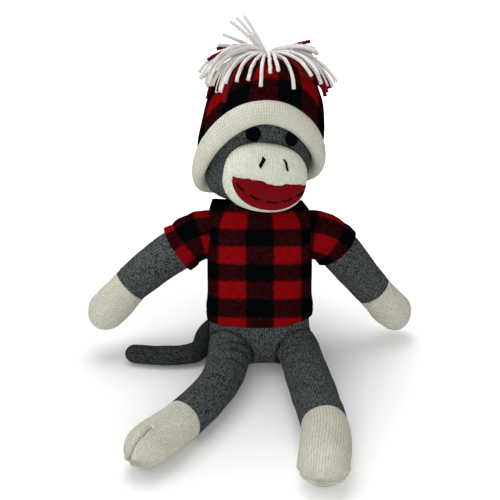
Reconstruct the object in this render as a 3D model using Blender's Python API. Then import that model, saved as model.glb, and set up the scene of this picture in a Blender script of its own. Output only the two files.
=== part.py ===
"""Sock monkey doll, sitting: stuffed knit body and limbs, plaid fleece shirt, hat with a yarn tuft.

Metres, +Z up. The doll faces -Y and its left side is +X. The origin is on the flat of the seat.
The torso leans back, so its pieces are drawn in a frame whose Z runs up the torso's own axis.
"""
import math

import bmesh
import bpy
from mathutils import Matrix, Vector

MM = 0.001

# Cloth and clearances
GAP = 0.3 * MM
KNIT = 1.2 * MM
FLEECE = 1.6 * MM
FILL_GAP = 0.6 * MM
CUT_OVERRUN = 30 * MM

# Torso
LEAN = math.radians(16)
NECK_HEIGHT = 158 * MM
NECK_RADIUS = 20 * MM
TORSO_HALF_WIDTH = 50 * MM
TORSO_HALF_DEPTH = 36 * MM
SEAT_SETBACK = 8 * MM
SEAT_HEIGHT = 30 * MM
# Each row: share of the neck's height, of the half width and of the half depth
TORSO_shares = (
    (-0.003, 0.30, 0.30), (0.004, 0.52, 0.52), (0.02, 0.70, 0.70), (0.055, 0.82, 0.83),
    (0.12, 0.93, 0.94), (0.20, 1.0, 1.0), (0.30, 1.0, 1.0), (0.50, 0.995, 0.99),
    (0.72, 0.985, 0.97), (0.88, 0.97, 0.90), (0.95, 0.88, 0.80),
)
TORSO_SQUARENESS = 2.6

# Shirt
HEM_HEIGHT = 40 * MM
HEM_WIDTH = 9 * MM
HEM_SWELL = 0.8 * MM
SHIRT_CLEARANCE = 0.6 * MM
# Each row: share of the neck's height, of the half width and of the half depth
SHIRT_shares = ((0.36, 1.0, 1.0), (0.52, 1.0, 1.0), (0.68, 1.0, 1.0), (0.80, 1.0, 1.0),
                (0.885, 1.0, 0.95), (0.95, 0.94, 0.83), (0.985, 0.80, 0.66))
NECKLINE_shares = {"front": 0.75, "back": 0.25}
SHIRT_SQUARENESS = 4.2

# Head and face
HEAD_CENTRE_HEIGHT = 216 * MM
HEAD_HALF_WIDTH = 50 * MM
HEAD_HALF_DEPTH = 48 * MM
HEAD_HALF_HEIGHT = 58 * MM
HEAD_SQUARENESS = 2.3
CHEEK_SQUARENESS = 3.0
HEAD_RING_shares = (-0.897, -0.728, -0.488, -0.18, 0.255, 0.576, 0.832, 0.966)
FACE_TURN = math.radians(10)
FACE_ROLL = math.radians(7.5)
MUZZLE_DROP = 29.5 * MM
MUZZLE_HALF_WIDTH = 39.3 * MM
MUZZLE_HALF_HEIGHT = 32 * MM
MUZZLE_BASE = 44 * MM
MUZZLE_DEPTH = 31 * MM
MUZZLE_SKIRT = 26 * MM
MUZZLE_BACK_share = 0.72
MUZZLE_OUTLINE = 2.35
MUZZLE_CROWN = 2.6
MUZZLE_RING_shares = (0.985, 0.93, 0.82, 0.64, 0.38)
LIP_THICKNESS = 1.4 * MM
LIP_CLEARANCE = 0.95 * MM
LIP_HALF_WIDTH = 35.2 * MM
LIP_DEPTH = 28 * MM
LIP_OUTLINE = 2.1
LIP_SHIFT = -1 * MM
LIP_TOP_DROP = 1.5 * MM
LIP_NOTCH = 2.9 * MM
LIP_NOTCH_PLACE = 4 * MM
LIP_NOTCH_WIDTH = 9 * MM
EYE_RADIUS = 7.2 * MM
EYE_THICKNESS = 2.2 * MM
EYE_SPACING = 36.8 * MM
EYE_SHIFT = 2.4 * MM
EYE_RISE = 8.9 * MM
THREAD_RADIUS = 0.9 * MM
NOSTRIL_HEIGHT = 19.6 * MM
NOSTRIL_FOOT = 9.5 * MM
NOSTRIL_TOP_SPACING = 19 * MM
NOSTRIL_FOOT_SPACING = 25.5 * MM
NOSTRIL_SHIFT = 1.4 * MM
# The sewn mouth: its lowest point and its lift towards the corners, as shares of the muzzle's half
# height, and each stitch's ends, as shares of its half width
MOUTH_LOW_share = 0.625
MOUTH_LIFT_share = 0.634
MOUTH_SHIFT = 3 * MM
STITCH_shares = ((-0.745, -0.545), (-0.436, -0.161), (-0.039, 0.236), (0.332, 0.577), (0.655, 0.83))

# Hat
HAT_SHIFT = -1.2 * MM
BRIM_HALF_WIDTH = 58.8 * MM
BRIM_HALF_DEPTH = 56.3 * MM
BRIM_SETBACK = 1 * MM
BRIM_THICKNESS = 14 * MM
BRIM_BAND = 21.8 * MM
BRIM_FRONT_HEIGHT = 246.3 * MM
BRIM_BACK_HEIGHT = 178 * MM
BRIM_TILT = 7.5 * MM
BRIM_DIP = 2.1
CROWN_HEIGHT = 292 * MM
CROWN_LEAN = 8 * MM
CROWN_FULLNESS = 0.45
CROWN_BULGE_share = 0.03
# Each ring of the crown, as a share of the quarter turn from the brim to the top
CROWN_RING_shares = (0.0, 0.13, 0.29, 0.47, 0.63, 0.79, 0.91)

# Yarn tuft: a strand's level runs from 0, drooping at the rim, to 1, straight up
TUFT_KNOT_RADIUS = 8.5 * MM
TUFT_RADIUS = 66 * MM
TUFT_TOP = 32 * MM
TUFT_FALL = 33 * MM
TUFT_NARROWING = 0.55
YARN_RADIUS = 1.7 * MM
WHITE_STRANDS = 40
RED_STRANDS = 26
WHITE_LEVELS = (0.05, 1.0)
WHITE_BUNCHING = 2.2
RED_LEVELS = (-0.12, -0.20)
STRAND_VARIATION = 0.08
STRAND_RING_shares = (0.3, 0.55, 0.78, 1.0)

# Arms
SHOULDER_HEIGHT = 126 * MM
ARM_RADIUS = 21.1 * MM
ARM_LENGTH = 151.5 * MM
ARM_WRIST_share = 0.63
SLEEVE_RADIUS = 24.2 * MM
SLEEVE_LENGTH = 35.5 * MM
SLEEVE_LENGTH_shares = {"right": 1.0, "left": 0.89}
CUFF_SWELL = 1.0 * MM
# Each row: share of the arm's length run, and the turn towards the feet in it, in degrees
ARM_BENDS = {"right": ((0.04, 12), (0.10, 25), (0.12, -5), (0.52, 17), (0.22, -25)),
             "left": ((0.04, 12), (0.10, 29), (0.12, 11), (0.52, -1), (0.22, -25))}
ARM_SWING = {"right": 0.0, "left": math.radians(-20)}
ARM_RADIUS_shares = ((0.0, 1.0), (0.25, 1.01), (0.45, 0.95), (0.665, 0.89), (0.80, 0.93), (1.0, 0.90))

# Legs
HIP_SPACING = 70 * MM
HIP_OFFSET = 4.5 * MM
HIP_FORWARD = 22 * MM
HIP_LIFT = -74
HIP_RAISE = 25
LEG_RADIUS = 20 * MM
LEG_LENGTH = 181 * MM
LEG_LENGTH_shares = {"right": 1.0, "left": 1.033}
LEG_ANKLE_share = 0.625
LEG_BENDS = {"right": ((0.06, 3), (0.34, 24), (0.43, 12), (0.17, -19)),
             "left": ((0.06, 8), (0.20, 0), (0.30, 0), (0.27, -18), (0.17, 0))}
LEG_GIRTH_shares = {"right": 1.05, "left": 1.03}
LEG_RADIUS_shares = {
    "right": ((0.0, 1.0), (0.40, 0.88), (0.615, 0.88), (0.80, 0.90), (1.0, 0.87)),
    "left": ((0.0, 1.0), (0.40, 1.02), (0.615, 1.0), (0.80, 1.06), (1.0, 1.03)),
}
TOE_RISE = 2.5 * MM
FLOOR_FLAT = 0.5 * MM

# Tail
TAIL_RADIUS = 11.5 * MM
TAIL_ROOT_BACK = 50.3 * MM
TAIL_TIP_share = 0.80
# The tail's route over the floor, chosen by hand: shares of the torso's half width, outward and back
TAIL_ROUTE_shares = ((-0.20, 1.055), (-0.44, 1.05), (-0.73, 0.95), (-0.97, 0.74), (-1.11, 0.44), (-1.16, 0.11),
                     (-1.28, -0.16), (-1.60, -0.28), (-2.04, -0.27), (-2.36, -0.23), (-2.52, -0.20))

# Round ends: where a limb's last dome begins, in girths before its end, and how blunt it is
HAND_DOME_share = 0.9
TOE_DOME_share = 0.95
DOME_BLUNTNESS = 2.2
DOME_RING_shares = (0.48, 0.80, 0.96)
# Rings between a limb's root and its wrist or ankle, as shares of its length
ARM_RING_shares = (0.0, 0.10, 0.19, 0.30, 0.46)
LEG_RING_shares = (0.0, 0.10, 0.22, 0.34, 0.48)
PALM_RING_share = 0.09
SOLE_RING_shares = (0.09, 0.19)
SLEEVE_RING_shares = (0.0, 0.45, 0.72, 1.0)
# Rings of the round roots and of the tail's tip, as shares of the quarter turn from their rims
THIGH_ROOT_shares = (0.80, 0.56, 0.29)
TAIL_ROOT_shares = (0.76, 0.44, 0.16)
TAIL_TIP_RING_shares = (0.33, 0.69)

# Facets
TORSO_SIDES = 20
HEAD_SIDES = 20
LIMB_SIDES = 14
TAIL_SIDES = 10
TAIL_RINGS = 12
HAT_SIDES = 28
BRIM_SIDES = 12
LIP_COLUMNS = 19
LIP_LINES = 5
STITCH_POINTS = 4
EYE_SIDES = 16
LINE_STEPS = 60
SMOOTH_ANGLE = math.radians(50)

COLOURS = {
    "grey_knit": (0.082, 0.086, 0.094), "charcoal_knit": (0.030, 0.032, 0.035),
    "cream_knit": (0.62, 0.60, 0.51), "red_knit": (0.36, 0.010, 0.020),
    "plaid_fleece": (0.22, 0.012, 0.016), "black_thread": (0.006, 0.006, 0.008),
    "black_felt": (0.008, 0.009, 0.012), "white_yarn": (0.82, 0.80, 0.77),
    "red_yarn": (0.42, 0.012, 0.022), "fibre_fill": (0.80, 0.79, 0.76),
}


def clear_scene():
    for item in list(bpy.data.objects):
        bpy.data.objects.remove(item, do_unlink=True)


def material(name):
    made = bpy.data.materials.new(name)
    made.use_nodes = True
    shader = made.node_tree.nodes["Principled BSDF"]
    shader.inputs["Base Color"].default_value = (*COLOURS[name], 1.0)
    shader.inputs["Roughness"].default_value = 0.9
    shader.inputs["Metallic"].default_value = 0.0
    return made


def frame_empty(name, matrix, parent=None):
    empty = bpy.data.objects.new(name, None)
    bpy.context.scene.collection.objects.link(empty)
    empty.parent = parent
    empty.matrix_local = matrix
    return empty


def mesh_object(name, bm, parent, slot):
    """Turn a bmesh into an object under its parent frame, shaded smooth."""
    bmesh.ops.recalc_face_normals(bm, faces=bm.faces)
    mesh = bpy.data.meshes.new(name)
    bm.to_mesh(mesh)
    bm.free()
    mesh.shade_smooth()
    mesh.set_sharp_from_angle(angle=SMOOTH_ANGLE)
    made = bpy.data.objects.new(name, mesh)
    bpy.context.scene.collection.objects.link(made)
    made.parent = parent
    if slot:
        mesh.materials.append(material(slot))
    else:
        made.hide_render = True
        made.display_type = "WIRE"
    return made


def loft(rows, closed=True, start="open", end="open"):
    """Skin rows of points with faces. A row's end is open, flat (one face) or a pole point."""
    bm = bmesh.new()
    lines = [[bm.verts.new(point) for point in row] for row in rows]
    for low, high in zip(lines, lines[1:]):
        count = len(low)
        for i in range(count if closed else count - 1):
            j = (i + 1) % count
            bm.faces.new((low[i], low[j], high[j], high[i]))
    for kind, line in ((start, lines[0]), (end, lines[-1])):
        if kind == "flat":
            bm.faces.new(line)
        elif kind != "open":
            pole = bm.verts.new(kind)
            for i, vert in enumerate(line):
                bm.faces.new((vert, line[(i + 1) % len(line)], pole))
    return bm


def shifted(bm, inward):
    """Move a closed form's surface in (or out, when negative) by an even amount."""
    bmesh.ops.recalc_face_normals(bm, faces=bm.faces)
    bm.normal_update()
    places = [vert.co - vert.normal * inward * vert.calc_shell_factor() for vert in bm.verts]
    for vert, place in zip(bm.verts, places):
        vert.co = place
    return bm


def thicken(piece, thickness, outward=False):
    solid = piece.modifiers.new("Cloth", "SOLIDIFY")
    solid.thickness = thickness
    solid.offset = 1.0 if outward else -1.0
    solid.use_even_offset = True
    return piece


def cut(piece, *cutters):
    for cutter in cutters:
        boolean = piece.modifiers.new("Cut " + cutter.name, "BOOLEAN")
        boolean.operation = "DIFFERENCE"
        boolean.solver = "EXACT"
        boolean.object = cutter


def power(value, exponent):
    return math.copysign(abs(value) ** exponent, value)


def superellipse(half_x, half_y, squareness, sides, start=0.0, sweep=2 * math.pi):
    """Points of a superellipse; a full sweep leaves out the repeated last point."""
    full = abs(sweep - 2 * math.pi) < 1e-9
    steps = sides if full else sides - 1
    turns = [start + sweep * i / steps for i in range(sides)]
    e = 2.0 / squareness
    return [(half_x * power(math.cos(t), e), half_y * power(math.sin(t), e)) for t in turns]


def interpolate(table, value):
    """Read a column of a table of rows (position, value) with smooth steps between rows."""
    for (low, a), (high, b) in zip(table, table[1:]):
        if value <= high:
            t = max(0.0, (value - low) / (high - low))
            return a + (b - a) * (3 - 2 * t) * t * t
    return table[-1][1]


# Torso

def torso_frame_matrix():
    return Matrix.Rotation(-LEAN, 4, "X")


def torso_rows():
    """Rings of the torso in world space: level at the seat, square to the leaning axis above it."""
    rows = []
    for height_share, width_share, depth_share in TORSO_shares:
        height = NECK_HEIGHT * height_share
        rise = min(1.0, max(0.0, height / SEAT_HEIGHT))
        tilt = Matrix.Rotation(-LEAN * rise, 4, "X")
        axis_point = Vector((0, height * math.sin(LEAN), height * math.cos(LEAN)))
        seat_point = Vector((0, SEAT_SETBACK, height))
        centre = seat_point.lerp(axis_point, rise)
        points = superellipse(TORSO_HALF_WIDTH * width_share, TORSO_HALF_DEPTH * depth_share,
                              TORSO_SQUARENESS, TORSO_SIDES)
        rows.append([centre + tilt @ Vector((x, y, 0)) for x, y in points])
    lean = torso_frame_matrix()
    neck = superellipse(NECK_RADIUS, NECK_RADIUS, 2, TORSO_SIDES)
    rows.append([lean @ Vector((x, y, NECK_HEIGHT)) for x, y in neck])
    return rows


def shoulder_half_width():
    return TORSO_HALF_WIDTH + GAP


def hip_centre(side):
    sign = 1 if side == "left" else -1
    return Vector((HIP_OFFSET + sign * HIP_SPACING / 2, -HIP_FORWARD, thigh_radius(side) - FLOOR_FLAT))


def thigh_radius(side):
    return LEG_RADIUS * LEG_GIRTH_shares[side]


def hip_cutter(side):
    """The room that a thigh sweeps: a pie about the hip's axis, extruded across the thigh."""
    radius = thigh_radius(side) + GAP
    reach = radius + CUT_OVERRUN
    down = math.radians(HIP_LIFT)
    up = math.radians(HIP_RAISE)
    # Angles are counted from straight ahead (-Y), positive upwards
    back_turn = [down - math.pi / 2 - (2 * math.pi + down - up - math.pi) * i / 8 for i in range(9)]
    outline = [(radius * math.cos(t), radius * math.sin(t)) for t in back_turn]
    for turn, side_turn in ((up, 1), (down, -1)):
        across = turn + side_turn * math.pi / 2
        outline.append((reach * math.cos(turn) + radius * math.cos(across),
                        reach * math.sin(turn) + radius * math.sin(across)))
    bm = bmesh.new()
    centre = hip_centre(side)
    base = [bm.verts.new((centre.x - radius, centre.y - ahead, centre.z + rise)) for ahead, rise in outline]
    face = bm.faces.new(base)
    grown = bmesh.ops.extrude_face_region(bm, geom=[face])
    moved = [item for item in grown["geom"] if isinstance(item, bmesh.types.BMVert)]
    bmesh.ops.translate(bm, verts=moved, vec=(2 * radius, 0, 0))
    return mesh_object("hip_room_" + side, bm, None, None)


def tail_cutter():
    """The round dimple behind the seat that the tail's root turns in."""
    bm = bmesh.new()
    bmesh.ops.create_uvsphere(bm, u_segments=4 * TAIL_SIDES, v_segments=2 * TAIL_SIDES, radius=TAIL_RADIUS + GAP)
    cutter = mesh_object("tail_room", bm, None, None)
    cutter.location = tail_root()
    return cutter


def tail_root():
    return Vector((0, TAIL_ROOT_BACK, TAIL_RADIUS + GAP))


def floor_cutter():
    """A slab whose top is the surface the doll sits on."""
    bm = bmesh.new()
    reach = LEG_LENGTH + ARM_LENGTH
    bmesh.ops.create_cube(bm, size=2 * reach)
    bmesh.ops.translate(bm, verts=bm.verts, vec=(0, 0, -reach))
    return mesh_object("floor_level", bm, None, None)


def build_torso(cutters):
    skin = mesh_object("torso_skin", loft(torso_rows(), start="flat"), None, "grey_knit")
    thicken(skin, KNIT)
    cut(skin, *cutters)
    filling = shifted(loft(torso_rows(), start="flat", end="flat"), KNIT + FILL_GAP)
    cut(mesh_object("torso_stuffing", filling, None, "fibre_fill"), *cutters)


# Shirt

def shirt_row(height, width_share, depth_share, front, swell=0.0):
    """Half a ring of the shirt, from side seam to side seam, in the torso's frame."""
    half_x = (TORSO_HALF_WIDTH + GAP) * width_share + swell
    half_y = (TORSO_HALF_DEPTH + GAP) * depth_share + swell
    squareness = SHIRT_SQUARENESS if width_share > SHIRT_shares[-2][1] else TORSO_SQUARENESS
    facing = -1 if front else 1
    points = superellipse(half_x, half_y, squareness, TORSO_SIDES // 2 + 1, 0.0, math.pi)
    return [Vector((x, facing * (y + GAP / 2), height)) for x, y in points]


def neckline(below, collar, dip):
    """The top edge: on the shoulders it reaches the collar, and it dips between them."""
    widest = max(abs(point.y) for point in below)
    row = []
    for low, high in zip(below, collar):
        row.append(high.lerp(low, dip * abs(low.y) / widest))
    return row


def build_shirt(torso_frame, armholes):
    for name, front in (("shirt_front", True), ("shirt_back", False)):
        rows = [shirt_row(HEM_HEIGHT, 1.0, 1.0, front, HEM_SWELL),
                shirt_row(HEM_HEIGHT + HEM_WIDTH, 1.0, 1.0, front, HEM_SWELL)]
        for height_share, width_share, depth_share in SHIRT_shares:
            height = NECK_HEIGHT * height_share + SHIRT_CLEARANCE
            rows.append(shirt_row(height, width_share, depth_share, front))
        dip = NECKLINE_shares["front" if front else "back"]
        rows[-1] = neckline(rows[-2], rows[-1], dip)
        panel = mesh_object(name, loft(rows, closed=False), torso_frame, "plaid_fleece")
        thicken(panel, FLEECE, outward=True)
        cut(panel, *armholes)


# Head

def head_rows():
    """Rings of the head about the neck's axis, in a frame at the head's centre."""
    neck = HEAD_CENTRE_HEIGHT - NECK_HEIGHT - GAP
    rows = [[Vector((x, y, -neck)) for x, y in superellipse(NECK_RADIUS, NECK_RADIUS, 2, HEAD_SIDES)]]
    for share in HEAD_RING_shares:
        depth = HEAD_HALF_DEPTH * head_girth(share, HEAD_SQUARENESS)
        width = HEAD_HALF_WIDTH * head_girth(share, CHEEK_SQUARENESS if share < 0 else HEAD_SQUARENESS)
        ring = superellipse(width, depth, 2, HEAD_SIDES)
        rows.append([Vector((x, y, HEAD_HALF_HEIGHT * share)) for x, y in ring])
    return rows


def head_girth(height_share, squareness):
    return (1 - abs(height_share) ** squareness) ** (1 / squareness)


def head_top():
    return Vector((0, 0, HEAD_HALF_HEIGHT))


def muzzle_front(x, z):
    """How far the muzzle's face stands ahead of the head's centre, at a point of its outline plane."""
    n = MUZZLE_OUTLINE
    reach = abs(x / MUZZLE_HALF_WIDTH) ** n + abs(z / MUZZLE_HALF_HEIGHT) ** n
    reach = min(1.0, reach ** (1 / n))
    return MUZZLE_BASE + MUZZLE_DEPTH * (1 - reach ** MUZZLE_CROWN) ** (1 / MUZZLE_CROWN)


def on_muzzle(x, z, lift):
    """A point lifted off the muzzle's face, in the face frame."""
    step = THREAD_RADIUS
    slope_x = (muzzle_front(x + step, z) - muzzle_front(x - step, z)) / (2 * step)
    slope_z = (muzzle_front(x, z + step) - muzzle_front(x, z - step)) / (2 * step)
    normal = Vector((-slope_x, -1, -slope_z)).normalized()
    return Vector((x, -muzzle_front(x, z), z - MUZZLE_DROP)) + lift * normal


def muzzle_rows():
    rows = []
    back = (1 + MUZZLE_BACK_share) / 2
    for setback, girth in ((MUZZLE_SKIRT, MUZZLE_BACK_share), (MUZZLE_SKIRT / 2, (1 + back) / 2), (0.0, 1.0)):
        ring = superellipse(MUZZLE_HALF_WIDTH * girth, MUZZLE_HALF_HEIGHT * girth, MUZZLE_OUTLINE, HEAD_SIDES)
        rows.append([Vector((x, setback - MUZZLE_BASE, z - MUZZLE_DROP)) for x, z in ring])
    for girth in MUZZLE_RING_shares:
        ring = superellipse(MUZZLE_HALF_WIDTH * girth, MUZZLE_HALF_HEIGHT * girth, MUZZLE_OUTLINE, HEAD_SIDES)
        rows.append([Vector((x, -muzzle_front(x, z), z - MUZZLE_DROP)) for x, z in ring])
    return rows


def muzzle_tip():
    return Vector((0, -muzzle_front(0, 0), -MUZZLE_DROP))


def lip_top(x):
    """The height of the lips' upper edge, nearly straight with a soft notch near the middle."""
    off = (x - LIP_NOTCH_PLACE) / LIP_NOTCH_WIDTH
    return -LIP_TOP_DROP - LIP_NOTCH * math.exp(-off * off)


def build_lips(face_frame):
    """A crescent on the muzzle: a half oval below, cut off above along the lips' upper edge."""
    rim = (LIP_TOP_DROP / LIP_DEPTH) ** (LIP_OUTLINE / 2)
    corner = math.asin(rim)
    lower = superellipse(LIP_HALF_WIDTH, LIP_DEPTH, LIP_OUTLINE, LIP_COLUMNS, math.pi + corner,
                         math.pi - 2 * corner)
    rows = []
    for line in range(LIP_LINES):
        share = line / (LIP_LINES - 1)
        row = []
        for x, z in lower:
            across = x + LIP_SHIFT
            top = max(z, lip_top(across))
            row.append(on_muzzle(across, z + (top - z) * share, LIP_CLEARANCE))
        rows.append(row)
    lips = mesh_object("lips", loft(rows, closed=False), face_frame, "red_knit")
    thicken(lips, LIP_THICKNESS, outward=True)


def build_stitch(name, points, face_frame):
    """A short length of thread lying on the face, as a bevelled curve with closed ends."""
    curve = bpy.data.curves.new(name, "CURVE")
    curve.dimensions = "3D"
    curve.bevel_depth = THREAD_RADIUS
    curve.bevel_resolution = 1
    curve.use_fill_caps = True
    spline = curve.splines.new("POLY")
    spline.points.add(len(points) - 1)
    for place, point in zip(spline.points, points):
        place.co = (*point, 1.0)
    curve.materials.append(material("black_thread"))
    made = bpy.data.objects.new(name, curve)
    bpy.context.scene.collection.objects.link(made)
    made.parent = face_frame


def mouth_height(x):
    across = (x - MOUTH_SHIFT) / MUZZLE_HALF_WIDTH
    return MUZZLE_HALF_HEIGHT * (MOUTH_LIFT_share * across * across - MOUTH_LOW_share)


def build_stitches(face_frame):
    lip_lift = LIP_CLEARANCE + LIP_THICKNESS + GAP + THREAD_RADIUS
    for index, (start, end) in enumerate(STITCH_shares):
        points = []
        for step in range(STITCH_POINTS):
            x = MUZZLE_HALF_WIDTH * (start + (end - start) * step / (STITCH_POINTS - 1))
            points.append(on_muzzle(x, mouth_height(x), lip_lift))
        build_stitch("mouth_stitch_%d" % (index + 1), points, face_frame)
    for side, sign in (("left", 1), ("right", -1)):
        points = []
        for step in range(STITCH_POINTS):
            share = step / (STITCH_POINTS - 1)
            across = NOSTRIL_TOP_SPACING + (NOSTRIL_FOOT_SPACING - NOSTRIL_TOP_SPACING) * share
            height = NOSTRIL_HEIGHT + (NOSTRIL_FOOT - NOSTRIL_HEIGHT) * share
            points.append(on_muzzle(NOSTRIL_SHIFT + sign * across / 2, height, GAP + THREAD_RADIUS))
        build_stitch("nostril_" + side, points, face_frame)


def build_eyes(face_frame, head_room):
    for side, sign in (("left", 1), ("right", -1)):
        x = EYE_SHIFT + sign * EYE_SPACING / 2
        spread = (x / HEAD_HALF_WIDTH) ** 2
        ahead = HEAD_HALF_DEPTH * math.sqrt(1 - spread)
        bm = bmesh.new()
        bmesh.ops.create_uvsphere(bm, u_segments=EYE_SIDES, v_segments=EYE_SIDES // 2, radius=EYE_RADIUS)
        bmesh.ops.scale(bm, verts=bm.verts, vec=(1, 1, EYE_THICKNESS / EYE_RADIUS))
        normal = Vector((x / HEAD_HALF_WIDTH ** 2, -ahead / HEAD_HALF_DEPTH ** 2,
                         EYE_RISE / HEAD_HALF_HEIGHT ** 2)).normalized()
        turn = Vector((0, 0, 1)).rotation_difference(normal).to_matrix()
        bmesh.ops.rotate(bm, verts=bm.verts, matrix=turn)
        eye = mesh_object("eye_" + side, bm, face_frame, "black_felt")
        eye.location = Vector((x, -ahead, EYE_RISE)) - normal * (EYE_THICKNESS / 4)
        cut(eye, head_room)


def build_head(head_frame, face_frame):
    skin = mesh_object("head_skin", loft(head_rows(), end=head_top()), head_frame, "grey_knit")
    thicken(skin, KNIT)
    filling = shifted(loft(head_rows(), start="flat", end=head_top()), KNIT + FILL_GAP)
    mesh_object("head_stuffing", filling, head_frame, "fibre_fill")
    room = shifted(loft(head_rows(), start="flat", end=head_top()), -GAP)
    head_room = mesh_object("head_room", room, head_frame, None)
    muzzle = mesh_object("muzzle", loft(muzzle_rows(), end=muzzle_tip()), face_frame, "cream_knit")
    thicken(muzzle, KNIT)
    cut(muzzle, head_room)
    filling = shifted(loft(muzzle_rows(), start="flat", end=muzzle_tip()), KNIT + FILL_GAP)
    cut(mesh_object("muzzle_stuffing", filling, face_frame, "fibre_fill"), head_room)
    build_lips(face_frame)
    build_stitches(face_frame)
    build_eyes(face_frame, head_room)


# Hat, drawn in the torso's frame: x to the doll's left, y back, z up the torso's axis

def brim_centre(turn):
    """A point of the brim's middle line: turn 0 is at the front, a quarter turn at the doll's left."""
    dip = ((1 + math.cos(turn)) / 2) ** BRIM_DIP
    height = BRIM_BACK_HEIGHT + (BRIM_FRONT_HEIGHT - BRIM_BACK_HEIGHT) * dip + BRIM_TILT * math.sin(turn)
    return Vector((HAT_SHIFT + BRIM_HALF_WIDTH * math.sin(turn),
                   BRIM_SETBACK - BRIM_HALF_DEPTH * math.cos(turn), height))


def brim_loft():
    """The rolled cuff: flat ovals whose long way lies along the head, joined in a ring."""
    rows = []
    for index in range(HAT_SIDES):
        turn = 2 * math.pi * index / HAT_SIDES
        step = math.pi / HAT_SIDES
        tangent = (brim_centre(turn + step) - brim_centre(turn - step)).normalized()
        outward = Vector((math.sin(turn), -math.cos(turn), 0))
        along = tangent.cross(outward).normalized()
        oval = superellipse(BRIM_THICKNESS / 2, BRIM_BAND / 2, 2, BRIM_SIDES)
        rows.append([brim_centre(turn) + x * outward + z * along for x, z in oval])
    bm = loft(rows)
    bm.verts.ensure_lookup_table()
    count = len(rows[0])
    last = len(bm.verts) - count
    for i in range(count):
        j = (i + 1) % count
        bm.faces.new((bm.verts[last + i], bm.verts[last + j], bm.verts[j], bm.verts[i]))
    return bm


def crown_rows():
    rows = []
    for share in CROWN_RING_shares:
        t = share * math.pi / 2
        girth = math.cos(t) ** CROWN_FULLNESS
        half_width = BRIM_HALF_WIDTH * (1 + CROWN_BULGE_share * math.sin(2 * t)) * girth
        row = []
        for index in range(HAT_SIDES):
            turn = 2 * math.pi * index / HAT_SIDES
            rim = brim_centre(turn)
            row.append(Vector((HAT_SHIFT + CROWN_LEAN * math.sin(t) + half_width * math.sin(turn),
                               BRIM_SETBACK * girth - BRIM_HALF_DEPTH * girth * math.cos(turn),
                               rim.z + (CROWN_HEIGHT - rim.z) * math.sin(t))))
        rows.append(row)
    return rows


def crown_top():
    return Vector((HAT_SHIFT + CROWN_LEAN, 0, CROWN_HEIGHT))


def crown_height_at(x, y):
    """The crown's height over a point of its plan, from the same curve that its rings follow."""
    ahead = (y - BRIM_SETBACK) / BRIM_HALF_DEPTH
    across = (x - HAT_SHIFT - CROWN_LEAN) / (BRIM_HALF_WIDTH * (1 + CROWN_BULGE_share))
    level = math.sqrt(max(0.0, 1 - math.hypot(across, ahead) ** (2 / CROWN_FULLNESS)))
    rim = brim_centre(math.atan2(across, -ahead))
    return rim.z + (CROWN_HEIGHT - rim.z) * level


def strand_point(azimuth, level, share, length, clearance):
    """A point of a strand about the knot: it climbs by its level, then falls and drapes over the crown."""
    out = length * (1 - TUFT_NARROWING * level * level) * share
    up = TUFT_TOP * level * share * (2 - share) - TUFT_FALL * (1 - level) * (out / TUFT_RADIUS) ** 3
    knot = knot_centre()
    place = knot + Vector((out * math.cos(azimuth), out * math.sin(azimuth), up))
    place.z = max(place.z, crown_height_at(place.x, place.y) + clearance)
    return place - knot


def knot_centre():
    return crown_top() + Vector((0, 0, TUFT_KNOT_RADIUS + GAP))


def set_triangle(face, centre, heading):
    """Set a three-sided face square to its strand, keeping the order of its corners."""
    turn = Vector((0, 0, 1)).rotation_difference(heading)
    corners = list(face.verts)
    spoke = turn.inverted() @ (corners[0].co - face.calc_center_median())
    start = math.atan2(spoke.y, spoke.x)
    for index, vert in enumerate(corners):
        t = start + 2 * math.pi * index / len(corners)
        vert.co = centre + turn @ Vector((YARN_RADIUS * math.cos(t), YARN_RADIUS * math.sin(t), 0))


def half_knot(facing):
    """Half of the yarn knot, cut flat across its middle."""
    bm = bmesh.new()
    bmesh.ops.create_icosphere(bm, subdivisions=3, radius=TUFT_KNOT_RADIUS)
    split = bmesh.ops.bisect_plane(bm, geom=bm.verts[:] + bm.edges[:] + bm.faces[:],
                                   plane_co=(0, 0, facing * GAP / 2), plane_no=(0, 0, -facing),
                                   clear_outer=True)
    rim = [item for item in split["geom_cut"] if isinstance(item, bmesh.types.BMEdge)]
    bmesh.ops.contextual_create(bm, geom=rim)
    bm.normal_update()
    return bm


def root_lift(share, upper):
    """How high on its half of the knot a strand springs from, as an angle above the middle."""
    return math.asin(0.22 + 0.75 * share) if upper else -math.asin(0.24 + 0.3 * share)


def strand_level(share, upper):
    low, high = WHITE_LEVELS if upper else RED_LEVELS
    return low + (high - low) * share ** (WHITE_BUNCHING if upper else 1)


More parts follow.
